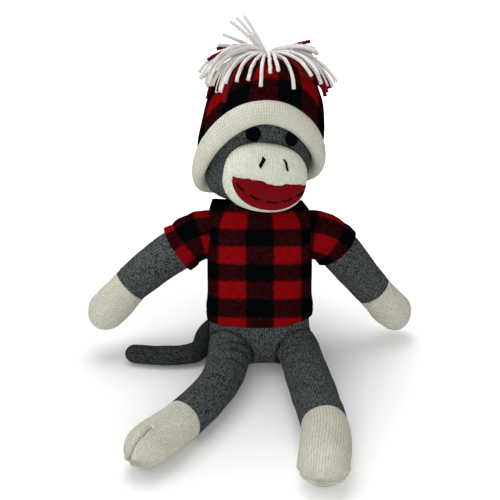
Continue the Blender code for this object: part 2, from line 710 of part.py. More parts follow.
def build_tuft(name, torso_frame, slot, strands, upper):
    """Half a ball of knotted yarn whose faces are drawn out into strands."""
    bm = half_knot(1 if upper else -1)
    golden = math.pi * (3 - math.sqrt(5))
    free = [face for face in bm.faces if len(face.verts) == 3 and abs(face.calc_center_median().z) > YARN_RADIUS]
    picks = []
    for order in range(strands):
        share = (order + 0.5) / strands
        azimuth = golden * order
        lift = root_lift(share, upper)
        wanted = Vector((math.cos(azimuth) * math.cos(lift), math.sin(azimuth) * math.cos(lift), math.sin(lift)))
        face = max(free, key=lambda item: item.calc_center_median().normalized().dot(wanted))
        free.remove(face)
        picks.append((face, share))
    clearance = YARN_RADIUS + GAP + (3 * YARN_RADIUS if upper else YARN_RADIUS)
    for order, (face, share) in enumerate(picks):
        centre = face.calc_center_median()
        azimuth = math.atan2(centre.y, centre.x)
        level = strand_level(share, upper)
        length = TUFT_RADIUS * (1 - STRAND_VARIATION * (1 - math.cos(5 * order)))
        tip = face
        for part in STRAND_RING_shares:
            place = strand_point(azimuth, level, part, length, clearance)
            before = strand_point(azimuth, level, part - 0.1, length, clearance)
            tip = bmesh.ops.extrude_discrete_faces(bm, faces=[tip])["faces"][0]
            set_triangle(tip, place, (place - before).normalized())
    bmesh.ops.translate(bm, verts=bm.verts, vec=knot_centre())
    mesh_object(name, bm, torso_frame, slot)


def build_hat(torso_frame):
    mesh_object("hat_brim", brim_loft(), torso_frame, "cream_knit")
    brim_room = mesh_object("brim_room", shifted(brim_loft(), -GAP), torso_frame, None)
    crown = mesh_object("hat_crown", loft(crown_rows(), end=crown_top()), torso_frame, "plaid_fleece")
    thicken(crown, FLEECE)
    cut(crown, brim_room)
    build_tuft("pompom_white", torso_frame, "white_yarn", WHITE_STRANDS, True)
    build_tuft("pompom_red", torso_frame, "red_yarn", RED_STRANDS, False)


# Limbs

def bent_line(length, bends, steps):
    """A flat line of even steps that follows straight runs and arcs: (ahead, aside, heading)."""
    places = [(0.0, 0.0, 0.0)]
    fine = 8 * steps
    ahead = aside = 0.0
    for index in range(1, fine + 1):
        share = (index - 0.5) / fine
        done = heading = 0.0
        for run, turn in bends:
            part = min(1.0, max(0.0, (share - done) / run))
            heading += math.radians(turn) * part
            done += run
        ahead += length / fine * math.cos(heading)
        aside += length / fine * math.sin(heading)
        if index % 8 == 0:
            places.append((ahead, aside, heading))
    return places


def limb_point(line, share):
    """A place on a bent line by its share of the length."""
    spot = min(max(share, 0.0), 1.0) * (len(line) - 1)
    index = min(int(spot), len(line) - 2)
    t = spot - index
    return tuple(a + (b - a) * t for a, b in zip(line[index], line[index + 1]))


def limb_rows(line, radii, shares, axes, tip_share=None):
    """Rings square to a bent line. Past tip_share the girth closes like a dome."""
    ahead_axis, aside_axis, up_axis, rise = axes
    rows = []
    for share in shares:
        ahead, aside, heading = limb_point(line, share)
        girth = radii(share)
        if tip_share is not None and share > tip_share:
            close = (share - tip_share) / (1 - tip_share)
            girth *= math.sqrt(max(0.0, 1 - close ** DOME_BLUNTNESS))
        centre = ahead * ahead_axis + aside * aside_axis + rise(share) * up_axis
        across = math.cos(heading) * aside_axis - math.sin(heading) * ahead_axis
        ring = superellipse(girth, girth, 2, LIMB_SIDES)
        rows.append([centre + x * across + z * up_axis for x, z in ring])
    return rows


def dome_shares(tip):
    """Places of the rings of a limb's round end, after the one where the dome begins."""
    return tuple(tip + part * (1 - tip) for part in DOME_RING_shares)


def limb_end(line, axes):
    ahead_axis, aside_axis, up_axis, rise = axes
    ahead, aside = line[-1][:2]
    return ahead * ahead_axis + aside * aside_axis + rise(1.0) * up_axis


def build_limb(side, names, parent, upper, lower, end, pole=None):
    """A limb as three pieces: the grey tube, its cream end and the filling inside both."""
    skin = mesh_object(names[0] + side, loft(upper, start=pole or "open"), parent, "grey_knit")
    tip = mesh_object(names[1] + side, loft(lower, end=end), parent, "cream_knit")
    for piece in (skin, tip):
        thicken(piece, KNIT)
    filling = loft(upper[:-1] + lower, start=pole or "flat", end=end)
    mesh_object(names[2] + side, shifted(filling, KNIT + FILL_GAP), parent, "fibre_fill")
    return skin, tip


def build_arm(side, torso_frame):
    sign = 1 if side == "left" else -1
    shoulder = Vector((sign * shoulder_half_width(), 0, SHOULDER_HEIGHT))
    joint = frame_empty("shoulder_" + side, Matrix.Translation(shoulder), torso_frame)
    joint.rotation_euler = (-ARM_SWING[side], 0, 0)
    line = bent_line(ARM_LENGTH, ARM_BENDS[side], LINE_STEPS)
    axes = (Vector((sign, 0, 0)), Vector((0, 0, -1)), Vector((0, 1, 0)), lambda share: 0.0)

    def radii(share):
        return ARM_RADIUS * interpolate(ARM_RADIUS_shares, share)

    wrist = ARM_WRIST_share
    tip = 1 - HAND_DOME_share * ARM_RADIUS / ARM_LENGTH
    upper = ARM_RING_shares + (wrist - GAP / ARM_LENGTH,)
    lower = (wrist, wrist + PALM_RING_share, tip) + dome_shares(tip)
    build_limb(side, ("arm_skin_", "hand_", "arm_stuffing_"), joint, limb_rows(line, radii, upper, axes),
               limb_rows(line, radii, lower, axes, tip), limb_end(line, axes))

    length = SLEEVE_LENGTH * SLEEVE_LENGTH_shares[side]
    cuff = (length - HEM_WIDTH) / ARM_LENGTH

    def sleeve_radii(share):
        return SLEEVE_RADIUS - FLEECE + (CUFF_SWELL if share > cuff else 0.0)

    run = tuple(cuff * part for part in SLEEVE_RING_shares) + (cuff + CUFF_SWELL / ARM_LENGTH, length / ARM_LENGTH)
    sleeve = mesh_object("sleeve_" + side, loft(limb_rows(line, sleeve_radii, run, axes)), joint, "plaid_fleece")
    thicken(sleeve, FLEECE, outward=True)


def armhole_cutter(side, torso_frame):
    """A round bar on the shoulder's axis that opens the shirt for the sleeve's root."""
    sign = 1 if side == "left" else -1
    radius = SLEEVE_RADIUS + 2 * GAP
    bm = bmesh.new()
    bmesh.ops.create_cone(bm, cap_ends=True, segments=2 * LIMB_SIDES, radius1=radius, radius2=radius,
                          depth=CUT_OVERRUN)
    bmesh.ops.rotate(bm, verts=bm.verts, matrix=Matrix.Rotation(math.pi / 2, 3, "Y"))
    cutter = mesh_object("armhole_" + side, bm, torso_frame, None)
    cutter.location = (sign * (shoulder_half_width() + CUT_OVERRUN / 4), 0, SHOULDER_HEIGHT)
    return cutter


def thigh_ball(sign, radius):
    """The round root of the thigh, a dome about the hip's centre: its rings and its pole."""
    rows = []
    for share in THIGH_ROOT_shares:
        t = share * math.pi / 2
        ring = superellipse(radius * math.cos(t), radius * math.cos(t), 2, LIMB_SIDES)
        rows.append([Vector((sign * x, radius * math.sin(t), z)) for x, z in ring])
    return rows, Vector((0, radius, 0))


def build_leg(side, floor):
    sign = 1 if side == "left" else -1
    joint = frame_empty("hip_" + side, Matrix.Translation(hip_centre(side)))
    length = LEG_LENGTH * LEG_LENGTH_shares[side]
    line = bent_line(length, LEG_BENDS[side], LINE_STEPS)
    ankle = LEG_ANKLE_share

    def radii(share):
        return thigh_radius(side) * interpolate(LEG_RADIUS_shares[side], share)

    def rise(share):
        toe = max(0.0, share - ankle) / (1 - ankle)
        return radii(share) - radii(0.0) + TOE_RISE * toe * toe

    axes = (Vector((0, -1, 0)), Vector((sign, 0, 0)), Vector((0, 0, 1)), rise)
    tip = 1 - TOE_DOME_share * LEG_RADIUS / length
    upper = LEG_RING_shares + (ankle - GAP / length,)
    lower = (ankle,) + tuple(ankle + part for part in SOLE_RING_shares) + (tip,) + dome_shares(tip)
    ball, pole = thigh_ball(sign, radii(0.0))
    pieces = build_limb(side, ("leg_skin_", "foot_", "leg_stuffing_"), joint,
                        ball + limb_rows(line, radii, upper, axes),
                        limb_rows(line, radii, lower, axes, tip), limb_end(line, axes), pole)
    for piece in pieces:
        cut(piece, floor)


# Tail

def tail_line():
    """The tail's middle line: a smooth curve through the root and the route's points."""
    scale = TORSO_HALF_WIDTH
    points = [Vector((0, 0, 0))]
    points += [Vector((x * scale, y * scale - TAIL_ROOT_BACK, 0)) for x, y in TAIL_ROUTE_shares]
    fine = []
    for index in range(len(points) - 1):
        p0 = points[max(0, index - 1)]
        p1, p2 = points[index], points[index + 1]
        p3 = points[min(len(points) - 1, index + 2)]
        for step in range(6):
            t = step / 6
            fine.append(0.5 * (2 * p1 + (p2 - p0) * t + (2 * p0 - 5 * p1 + 4 * p2 - p3) * t * t
                               + (3 * p1 - p0 - 3 * p2 + p3) * t ** 3))
    fine.append(points[-1])
    return fine


def tail_rows():
    """Rings of the tail: a ball at its root, a slow taper and a round tip, lying on the floor."""
    line = tail_line()
    first = (line[1] - line[0]).normalized()
    up = Vector((0, 0, 1))
    across = Vector((-first.y, first.x, 0))
    rows = []
    for share in TAIL_ROOT_shares:
        t = share * math.pi / 2
        ring = superellipse(TAIL_RADIUS * math.cos(t), TAIL_RADIUS * math.cos(t), 2, TAIL_SIDES)
        rows.append([x * across + z * up - TAIL_RADIUS * math.sin(t) * first for x, z in ring])
    for index in range(TAIL_RINGS):
        share = index / (TAIL_RINGS - 1)
        spot = share * (len(line) - 1)
        low = min(int(spot), len(line) - 2)
        centre = line[low].lerp(line[low + 1], spot - low)
        heading = (line[min(low + 2, len(line) - 1)] - line[max(0, low - 1)]).normalized()
        across = Vector((-heading.y, heading.x, 0))
        drop = TAIL_RADIUS * (1 - TAIL_TIP_share) * share
        ring = superellipse(TAIL_RADIUS - drop, TAIL_RADIUS - drop, 2, TAIL_SIDES)
        rows.append([centre + x * across + (z - drop) * up for x, z in ring])
    girth = TAIL_RADIUS * TAIL_TIP_share
    for share in TAIL_TIP_RING_shares:
        t = share * math.pi / 2
        ring = superellipse(girth * math.cos(t), girth * math.cos(t), 2, TAIL_SIDES)
        centre = line[-1] + girth * math.sin(t) * heading
        rows.append([centre + x * across + (z - drop) * up for x, z in ring])
    return rows, line[-1] + girth * heading - drop * up


def build_tail():
    joint = frame_empty("tail_base", Matrix.Translation(tail_root()))
    rows, tip = tail_rows()
    skin = mesh_object("tail_skin", loft(rows, end=tip), joint, "charcoal_knit")
    thicken(skin, KNIT)
    filling = shifted(loft(rows, start="flat", end=tip), KNIT + FILL_GAP)
    mesh_object("tail_stuffing", filling, joint, "fibre_fill")


def main():
    clear_scene()
    torso_frame = frame_empty("torso_axis", torso_frame_matrix())
    head_frame = frame_empty("head_axis", Matrix.Translation((0, 0, HEAD_CENTRE_HEIGHT)), torso_frame)
    face_turn = Matrix.Rotation(FACE_TURN, 4, "Z") @ Matrix.Rotation(FACE_ROLL, 4, "Y")
    face_frame = frame_empty("face_axis", face_turn, head_frame)
    floor = floor_cutter()
    build_torso([floor, tail_cutter()] + [hip_cutter(side) for side in ("left", "right")])
    build_shirt(torso_frame, [armhole_cutter(side, torso_frame) for side in ("left", "right")])
    build_head(head_frame, face_frame)
    build_hat(torso_frame)
    for side in ("left", "right"):
        build_arm(side, torso_frame)
        build_leg(side, floor)
    build_tail()


main()
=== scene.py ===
"""Sock monkey doll, sitting: knit body, plaid fleece shirt and hat, yarn pompom. Looks built on the frame.

Metres, +Z up. The doll faces -Y and its left side is +X. The torso leans back, so its pieces are
drawn in a frame whose Z runs up the torso's own axis, and are placed by that frame's matrix.
"""

import math
import random

import bmesh
import bpy
import numpy as np
from mathutils import Matrix, Vector, noise


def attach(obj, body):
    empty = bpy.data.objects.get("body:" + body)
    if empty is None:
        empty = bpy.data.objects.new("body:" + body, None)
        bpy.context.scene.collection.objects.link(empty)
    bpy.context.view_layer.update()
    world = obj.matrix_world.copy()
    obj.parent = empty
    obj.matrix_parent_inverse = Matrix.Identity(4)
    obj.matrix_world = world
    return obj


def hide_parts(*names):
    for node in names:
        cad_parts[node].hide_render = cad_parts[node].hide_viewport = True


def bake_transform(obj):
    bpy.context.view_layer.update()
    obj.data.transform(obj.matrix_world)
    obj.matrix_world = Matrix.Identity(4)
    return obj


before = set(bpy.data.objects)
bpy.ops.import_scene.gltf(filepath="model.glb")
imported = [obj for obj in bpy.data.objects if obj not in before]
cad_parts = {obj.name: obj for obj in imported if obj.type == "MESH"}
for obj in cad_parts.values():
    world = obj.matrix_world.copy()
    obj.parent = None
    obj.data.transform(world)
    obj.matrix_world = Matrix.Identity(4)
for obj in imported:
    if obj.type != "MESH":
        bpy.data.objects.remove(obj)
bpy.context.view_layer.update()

MM = 0.001
TURN = 2 * math.pi
SIDES = ("left", "right")
SIGN = {"left": 1, "right": -1}

# Camera and stage, fitted to the photograph's frame
CAMERA_ELEVATION = math.radians(26)
CAMERA_DISTANCE = 0.816
CAMERA_TARGET_HEIGHT = 0.12055
CAMERA_SHIFT = -0.0096
CAMERA_LENS = 61.2
CAMERA_SENSOR = 36
FLOOR_REACH = 6.0
FLOOR_WHITE = 0.86
# The floor turns pure white between these distances from the middle of its shadow
SHADOW_MIDDLE = (-0.08, -0.02, 0)
SHADOW_NEAR = 0.12
SHADOW_FAR = 0.55
SKY_STRENGTH = 0.42
# Each light: name, place, the point it faces, size in metres and power in watts
LIGHTS = (
    ("overhead_light", (-0.14, 0.40, 1.15), (0, -0.05, 0), 1.0, 9.0),
    ("side_light", (-1.0, 0.0, 0.9), (0, 0, 0.05), 1.2, 4.5),
    ("front_light", (-0.05, -1.50, 0.34), (0, 0, 0.12), 1.2, 16.5),
)

# The doll's own driving sizes, as in the part's source
GAP = 0.3 * MM
FLEECE = 1.6 * MM
LEAN = math.radians(16)
NECK_HEIGHT = 158 * MM
TORSO_HALF_WIDTH = 50 * MM
TORSO_HALF_DEPTH = 36 * MM
TORSO_SQUARENESS = 2.6
SEAT_SETBACK = 8 * MM
SEAT_HEIGHT = 30 * MM
# Each row: share of the neck's height, of the half width and of the half depth
TORSO_shares = (
    (0.0, 0.394, 0.394), (0.004, 0.52, 0.52), (0.02, 0.70, 0.70), (0.055, 0.82, 0.83),
    (0.12, 0.93, 0.94), (0.20, 1.0, 1.0), (0.30, 1.0, 1.0), (0.50, 0.995, 0.99),
    (0.72, 0.985, 0.97), (0.88, 0.97, 0.90), (0.95, 0.88, 0.80), (1.0, 0.40, 0.56),
)
HEM_HEIGHT = 40 * MM
HEM_WIDTH = 9 * MM
HEM_SWELL = 0.8 * MM
# Each row: share of the neck's height, of the half width and of the half depth
SHIRT_shares = ((0.24, 1.0, 1.0), (0.52, 1.0, 1.0), (0.80, 1.0, 1.0), (0.885, 1.0, 0.95),
                (0.95, 0.965, 0.84), (0.99, 0.91, 0.68))
SHIRT_SQUARENESS = 3.6
# How far the shirt's edges are drawn up at its sides, and where that ends
COLLAR_LIFT = {"left": 3 * MM, "right": 5 * MM}
COLLAR_FROM_share = 0.90
COLLAR_SPAN_share = 0.09
COLLAR_NARROWING = 0.09
HEM_LIFT = {"left": 8 * MM, "right": 3.4 * MM}
HEM_LIFT_REACH = 34 * MM
SHIRT_GIRTH_RADIUS = 45.5 * MM
HEAD_CENTRE_HEIGHT = 216 * MM
HEAD_HALF_WIDTH = 50 * MM
HEAD_HALF_DEPTH = 48 * MM
HEAD_HALF_HEIGHT = 58 * MM
HEAD_SQUARENESS = 2.3
CHEEK_SQUARENESS = 3.0
# The right cheek sags: how far out, how far under the head's middle and over what height
CHEEK_SAG = 9 * MM
CHEEK_DROP = 41 * MM
CHEEK_SPREAD = 17 * MM
FACE_TURN = math.radians(10)
FACE_ROLL = math.radians(7.5)
MUZZLE_DROP = 29.5 * MM
MUZZLE_HALF_WIDTH = 39.3 * MM
MUZZLE_HALF_HEIGHT = 32 * MM
MUZZLE_BASE = 44 * MM
MUZZLE_DEPTH = 31 * MM
MUZZLE_SKIRT = 26 * MM
MUZZLE_BACK_share = 0.72
MUZZLE_OUTLINE = 2.35
MUZZLE_CROWN = 2.6
LIP_HALF_WIDTH = 34 * MM
LIP_DEPTH = 28 * MM
LIP_OUTLINE = 2.1
LIP_SHIFT = 0.9 * MM
LIP_TOP_DROP = 1.5 * MM
LIP_NOTCH = 2.9 * MM
LIP_NOTCH_PLACE = 4 * MM
LIP_NOTCH_WIDTH = 9 * MM
LIP_SWELL = 1.7 * MM
LIP_THICKNESS = 1.2 * MM
THREAD_RADIUS = 0.75 * MM
THREAD_TWIST = 3.2 * MM
EYE_RADIUS = 7.2 * MM
# The felt disc's profile: share of its radius, height in millimetres
EYE_PROFILE = ((0.96, 0.0), (1.0, 0.7), (0.985, 1.4), (0.93, 2.0), (0.82, 2.35), (0.6, 2.6), (0.3, 2.75))
EYE_SPACING = 36.8 * MM
EYE_SHIFT = 2.4 * MM
EYE_RISE = 8.9 * MM
NOSTRIL_HEIGHT = 19.6 * MM
NOSTRIL_FOOT = 9.5 * MM
NOSTRIL_TOP_SPACING = 19 * MM
NOSTRIL_FOOT_SPACING = 25.5 * MM
NOSTRIL_SHIFT = 1.4 * MM
NOSTRIL_THREAD_RADIUS = 0.78 * MM
NOSTRIL_THREAD_STEP = 0.68 * MM
NOSTRIL_THREAD_TWIST = 3 * MM
MOUTH_LOW_share = 0.60
MOUTH_LIFT_share = 0.634
MOUTH_SHIFT = 1.6 * MM
STITCH_shares = ((-0.745, -0.545), (-0.436, -0.161), (-0.039, 0.236), (0.332, 0.577), (0.655, 0.83))
HAT_SHIFT = -1.2 * MM
BRIM_HALF_WIDTH = 58.8 * MM
BRIM_HALF_DEPTH = 56.3 * MM
BRIM_SETBACK = 1 * MM
BRIM_THICKNESS = 14 * MM
BRIM_BAND = 21.8 * MM
BRIM_FRONT_HEIGHT = 246.3 * MM
BRIM_BACK_HEIGHT = 178 * MM
BRIM_TILT = 7.5 * MM
BRIM_DIP = 2.1
CROWN_HEIGHT = 292 * MM
CROWN_LEAN = 8 * MM
CROWN_FULLNESS = 0.45
CROWN_BULGE_share = 0.03
CROWN_FULLER = 3 * MM
CROWN_GATHERS = 13
CROWN_GATHER_DEPTH = 1.2 * MM
TUFT_KNOT_RADIUS = 8.5 * MM
YARN_RADIUS = 1.65 * MM
YARN_TWIST = 9 * MM
TUFT_SEED = 5
SHOULDER_HEIGHT = 126 * MM
ARM_RADIUS = 21.1 * MM
ARM_LENGTH = 151.5 * MM
ARM_WRIST_share = 0.63
SLEEVE_RADIUS = 24.2 * MM
SLEEVE_LENGTH = 35.5 * MM
SLEEVE_LENGTH_shares = {"right": 1.0, "left": 0.89}
ARM_BENDS = {"right": ((0.04, 12), (0.10, 25), (0.12, -5), (0.52, 17), (0.22, -25)),
             "left": ((0.04, 12), (0.10, 29), (0.12, 11), (0.52, -1), (0.22, -25))}
ARM_SWING = {"right": 0.0, "left": math.radians(-20)}
ARM_RADIUS_shares = ((0.0, 1.0), (0.25, 1.01), (0.45, 0.95), (0.665, 0.89), (0.80, 0.93), (1.0, 0.90))
# The groin: how wide the belly flows into the thigh, and the crease between them
FILLET = 15 * MM
GROIN_DEPTH = 5.2 * MM
GROIN_WIDTH = 1.9 * MM
HIP_SPACING = 70 * MM
HIP_OFFSET = 4.5 * MM
HIP_FORWARD = 22 * MM
LEG_RADIUS = 20 * MM
LEG_LENGTH = 181 * MM
LEG_LENGTH_shares = {"right": 1.0, "left": 1.033}
LEG_ANKLE_share = 0.625
LEG_BENDS = {"right": ((0.06, 3), (0.34, 24), (0.43, 12), (0.17, -19)),
             "left": ((0.06, 8), (0.20, 0), (0.30, 0), (0.27, -18), (0.17, 0))}
LEG_GIRTH_shares = {"right": 1.05, "left": 1.03}
LEG_RADIUS_shares = {
    "right": ((0.0, 1.0), (0.40, 0.88), (0.615, 0.88), (0.80, 0.90), (1.0, 0.87)),
    "left": ((0.0, 1.0), (0.40, 1.02), (0.615, 1.0), (0.80, 1.06), (1.0, 1.03)),
}
TOE_RISE = 2.5 * MM
FLOOR_FLAT = 0.5 * MM
# The seam that closes a foot: depth and width of its groove, width of the painted shade along it, height,
# width and place of its lips
SEAM_DEPTH = 3.0 * MM
SEAM_WIDTH = 1.4 * MM
SEAM_SHADE_WIDTH = 1.2 * MM
SEAM_LIP = 1.3 * MM
SEAM_LIP_WIDTH = 1.6 * MM
SEAM_LIP_PLACE = 3.4 * MM
# Its line, in leg radii from the foot's end: back, up and across
SEAM_ROUTES = {
    "right": ((1.10, 0.97, 0.24), (0.80, 0.93, 0.17), (0.48, 0.85, 0.12), (0.11, 0.43, -0.14),
              (0.04, -0.03, -0.26), (0.30, -0.68, -0.46)),
    "left": ((0.90, -0.50, -0.95), (0.50, -0.30, -0.80), (0.06, -0.34, 0), (0.40, -0.33, 0.70),
             (0.80, -0.38, 1.05)),
}
TAIL_RADIUS = 11.5 * MM
TAIL_ROOT_BACK = 50.3 * MM
TAIL_TIP_share = 0.80
TAIL_ROUTE_shares = (
    (-0.20, 1.055), (-0.44, 1.05), (-0.73, 0.95), (-0.97, 0.74), (-1.11, 0.44), (-1.16, 0.11),
    (-1.28, -0.16), (-1.60, -0.28), (-2.04, -0.27), (-2.36, -0.23), (-2.52, -0.20),
)


# Cloth detail
WALE = 2.2 * MM
COURSE = 1.7 * MM
STITCH_DEPTH = 0.7 * MM
TORSO_WALES = 129
HEAD_WALES = 140
LIMB_WALES = 58
TAIL_WALES = 33
# Widths of the plaid's columns and heights of its rows
CHECK = 24.6 * MM
ROW = 17 * MM
SLEEVE_CHECK = 19 * MM
SLEEVE_ROW = 16.3 * MM
HAT_ROW = 21 * MM

TORSO_AXIS = Matrix.Rotation(-LEAN, 4, "X")
HEAD_AXIS = TORSO_AXIS @ Matrix.Translation((0, 0, HEAD_CENTRE_HEIGHT))
FACE_AXIS = HEAD_AXIS @ Matrix.Rotation(FACE_TURN, 4, "Z") @ Matrix.Rotation(FACE_ROLL, 4, "Y")


# Grids of points: rows along a piece, columns round it

def power(values, exponent):
    return np.copysign(np.abs(values) ** exponent, values)


def bell(values, middle=0.0, width=1.0):
    """1 at the middle, fading smoothly on both of its sides."""
    return np.exp(-((values - middle) / width) ** 2)


def unit(vectors):
    return vectors / np.maximum(np.linalg.norm(vectors, axis=-1, keepdims=True), 1e-12)


def run_along(points):
    """How far along a line each of its points lies."""
    return np.concatenate(([0], np.cumsum(np.linalg.norm(np.diff(points, axis=0), axis=1))))


def turns_round(count):
    return np.arange(count) / count * TURN


def smooth(table, at, column=1):
    """A smooth curve without overshoot through one column of a table; the first column is the place."""
    x = np.array([row[0] for row in table], float)
    y = np.array([row[column] for row in table], float)
    slopes = np.diff(y) / np.diff(x)
    both = slopes[1:] * slopes[:-1]
    total = np.where(both > 0, slopes[1:] + slopes[:-1], 1.0)
    inner = np.where(both > 0, 2 * both / total, 0.0)
    tangents = np.concatenate(([slopes[0]], inner, [slopes[-1]]))
    at = np.clip(at, x[0], x[-1])
    k = np.clip(np.searchsorted(x, at) - 1, 0, len(x) - 2)
    span = x[k + 1] - x[k]
    t = (at - x[k]) / span
    low = (1 + 2 * t) * (1 - t) ** 2 * y[k] + t * (1 - t) ** 2 * span * tangents[k]
    return low + t * t * (3 - 2 * t) * y[k + 1] + t * t * (t - 1) * span * tangents[k + 1]


def half_sizes(table, share, over=0.0):
    """Half the width and half the depth that a table gives at a share of the neck's height."""
    return ((TORSO_HALF_WIDTH + over) * smooth(table, share, 1),
            (TORSO_HALF_DEPTH + over) * smooth(table, share, 2))


def ring(half_x, half_y, squareness, count):
    """Evenly spaced points of a superellipse, from the back round by the doll's right and the front."""
    t = np.linspace(0, 2 * np.pi, 1441)
    x = -half_x * power(np.sin(t), 2 / squareness)
    y = half_y * power(np.cos(t), 2 / squareness)
    run = np.concatenate(([0], np.cumsum(np.hypot(np.diff(x), np.diff(y)))))
    even = np.arange(count) / count * run[-1]
    return np.stack([np.interp(even, run, x), np.interp(even, run, y)], 1)


def level_row(points, height):
    return np.column_stack([points, np.full(len(points), height)])


def placed(grid, matrix):
    m = np.array(matrix)
    return grid @ m[:3, :3].T + m[:3, 3]


def outward(grid):
    """Unit normals of a grid of closed rows, turned away from each row's middle."""
    across = np.roll(grid, -1, 1) - np.roll(grid, 1, 1)
    normals = unit(np.cross(across, np.gradient(grid, axis=0)))
    away = (normals * (grid - grid.mean(1, keepdims=True))).sum()
    return normals if away > 0 else -normals


def distance_to(grid, path):
    """Each point's distance to a line of straight runs."""
    best = np.full(grid.shape[:2], 1e9)
    for a, b in zip(path, path[1:]):
        a, b = np.array(a, float), np.array(b, float)
        along = np.clip(((grid - a) @ (b - a)) / ((b - a) @ (b - a)), 0, 1)
        best = np.minimum(best, np.linalg.norm(grid - a - along[..., None] * (b - a), axis=2))
    return best


def lumps(grid, size, amount, seed):
    """Soft random unevenness, as far as amount in and out."""
    shift = Vector((seed * 7.3, seed * 3.1, seed * 5.7))
    flat = [noise.noise(Vector(point) / size + shift) for point in grid.reshape(-1, 3)]
    return amount * np.array(flat).reshape(grid.shape[:2])


def swollen(grid, move):
    """Move a grid's points out along its normals."""
    return grid + move[..., None] * outward(grid)


def creased(grid, path, depth, width):
    """Press a line into a grid, with the cloth puffed a little on both of its sides."""
    far = distance_to(grid, path) / width
    return swollen(grid, -depth * bell(far) + 0.4 * depth * bell(far, 2.2))


# Meshes

def made(name, mesh):
    piece = bpy.data.objects.new(name, mesh)
    bpy.context.scene.collection.objects.link(piece)
    return piece


def lofted(name, grid, around=None, start=None, end=None, closed=True, uv=None, weld=False, v_start=0.0,
           v_lift=None, taper=False):
    """A mesh through a grid of points, with UVs in metres: u round the piece, v along it.

    start and end are points that close the first and last rows."""
    rows, columns = grid.shape[:2]
    if uv is None:
        steps = columns if closed else columns - 1
        u = np.linspace(-around / 2, around / 2, steps + 1)
        run = np.linalg.norm(np.diff(grid, axis=0), axis=2).mean(1)
        v = v_start + np.concatenate(([0], np.cumsum(run)))
        uv = np.stack(np.meshgrid(u, v), 2)
        if taper:
            girth = np.linalg.norm(grid - np.roll(grid, 1, axis=1), axis=2).sum(1)
            uv[..., 0] *= (girth / girth.max())[:, None]
        if v_lift is not None:
            uv[..., 1] += np.concatenate([v_lift, v_lift[:, :1]], 1)
    elif closed:
        uv = np.concatenate([uv, uv[:, :1]], 1)
    verts = [tuple(point) for point in grid.reshape(-1, 3)]
    faces, loops = [], []
    for r in range(rows - 1):
        for c in range(columns if closed else columns - 1):
            d = (c + 1) % columns
            faces.append((r * columns + c, r * columns + d, (r + 1) * columns + d, (r + 1) * columns + c))
            loops += [uv[r, c], uv[r, c + 1], uv[r + 1, c + 1], uv[r + 1, c]]
    for pole, r in ((start, 0), (end, rows - 1)):
        if pole is None:
            continue
        verts.append(tuple(pole))
        for c in range(columns):
            first, second = (c, c + 1) if r else (c + 1, c)
            faces.append((r * columns + first % columns, r * columns + second % columns, len(verts) - 1))
            beyond = (uv[r, c] + uv[r, c + 1]) / 2 + (0, COURSE if r else -COURSE)
            loops += [uv[r, first], uv[r, second], beyond]
    mesh = bpy.data.meshes.new(name)
    mesh.from_pydata(verts, [], faces)
    layer = mesh.uv_layers.new(name="UVMap")
    layer.data.foreach_set("uv", np.array(loops, np.float32).ravel())
    bm = bmesh.new()
    bm.from_mesh(mesh)
    if weld:
        bmesh.ops.remove_doubles(bm, verts=bm.verts, dist=MM / 100)
    bmesh.ops.recalc_face_normals(bm, faces=bm.faces)
    bm.to_mesh(mesh)
    bm.free()
    mesh.shade_smooth()
    return made(name, mesh)


def thickened(piece, thickness):
    solid = piece.modifiers.new("Cloth", "SOLIDIFY")
    solid.thickness = thickness
    solid.offset = -1
    return piece


def dress(piece, look, body=None, replaces=()):
    piece.data.materials.append(look)
    if body:
        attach(piece, body)
    if replaces:
        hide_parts(*replaces)
    return piece


# Materials

def operator(name, swapped=False):
    def apply(self, other):
        pair = (other, self) if swapped else (self, other)
        return self.nodes.math(name, *pair)
    return apply


class Value:
    """A number that a node tree works out. Arithmetic on it adds math nodes."""

    __add__ = __radd__ = operator("ADD")
    __sub__ = operator("SUBTRACT")
    __rsub__ = operator("SUBTRACT", swapped=True)
    __mul__ = __rmul__ = operator("MULTIPLY")
    __truediv__ = operator("DIVIDE")
    __pow__ = operator("POWER")

    def __init__(self, nodes, socket):
        self.nodes = nodes
        self.socket = socket

    def __abs__(self):
        return self.nodes.math("ABSOLUTE", self)

    def sine(self):
        return self.nodes.math("SINE", self)

    def whole(self):
        return self.nodes.math("FLOOR", self)

    def fraction(self):
        return self.nodes.math("FRACT", self)

    def at_least(self, least):
        return self.nodes.math("MAXIMUM", self, least)


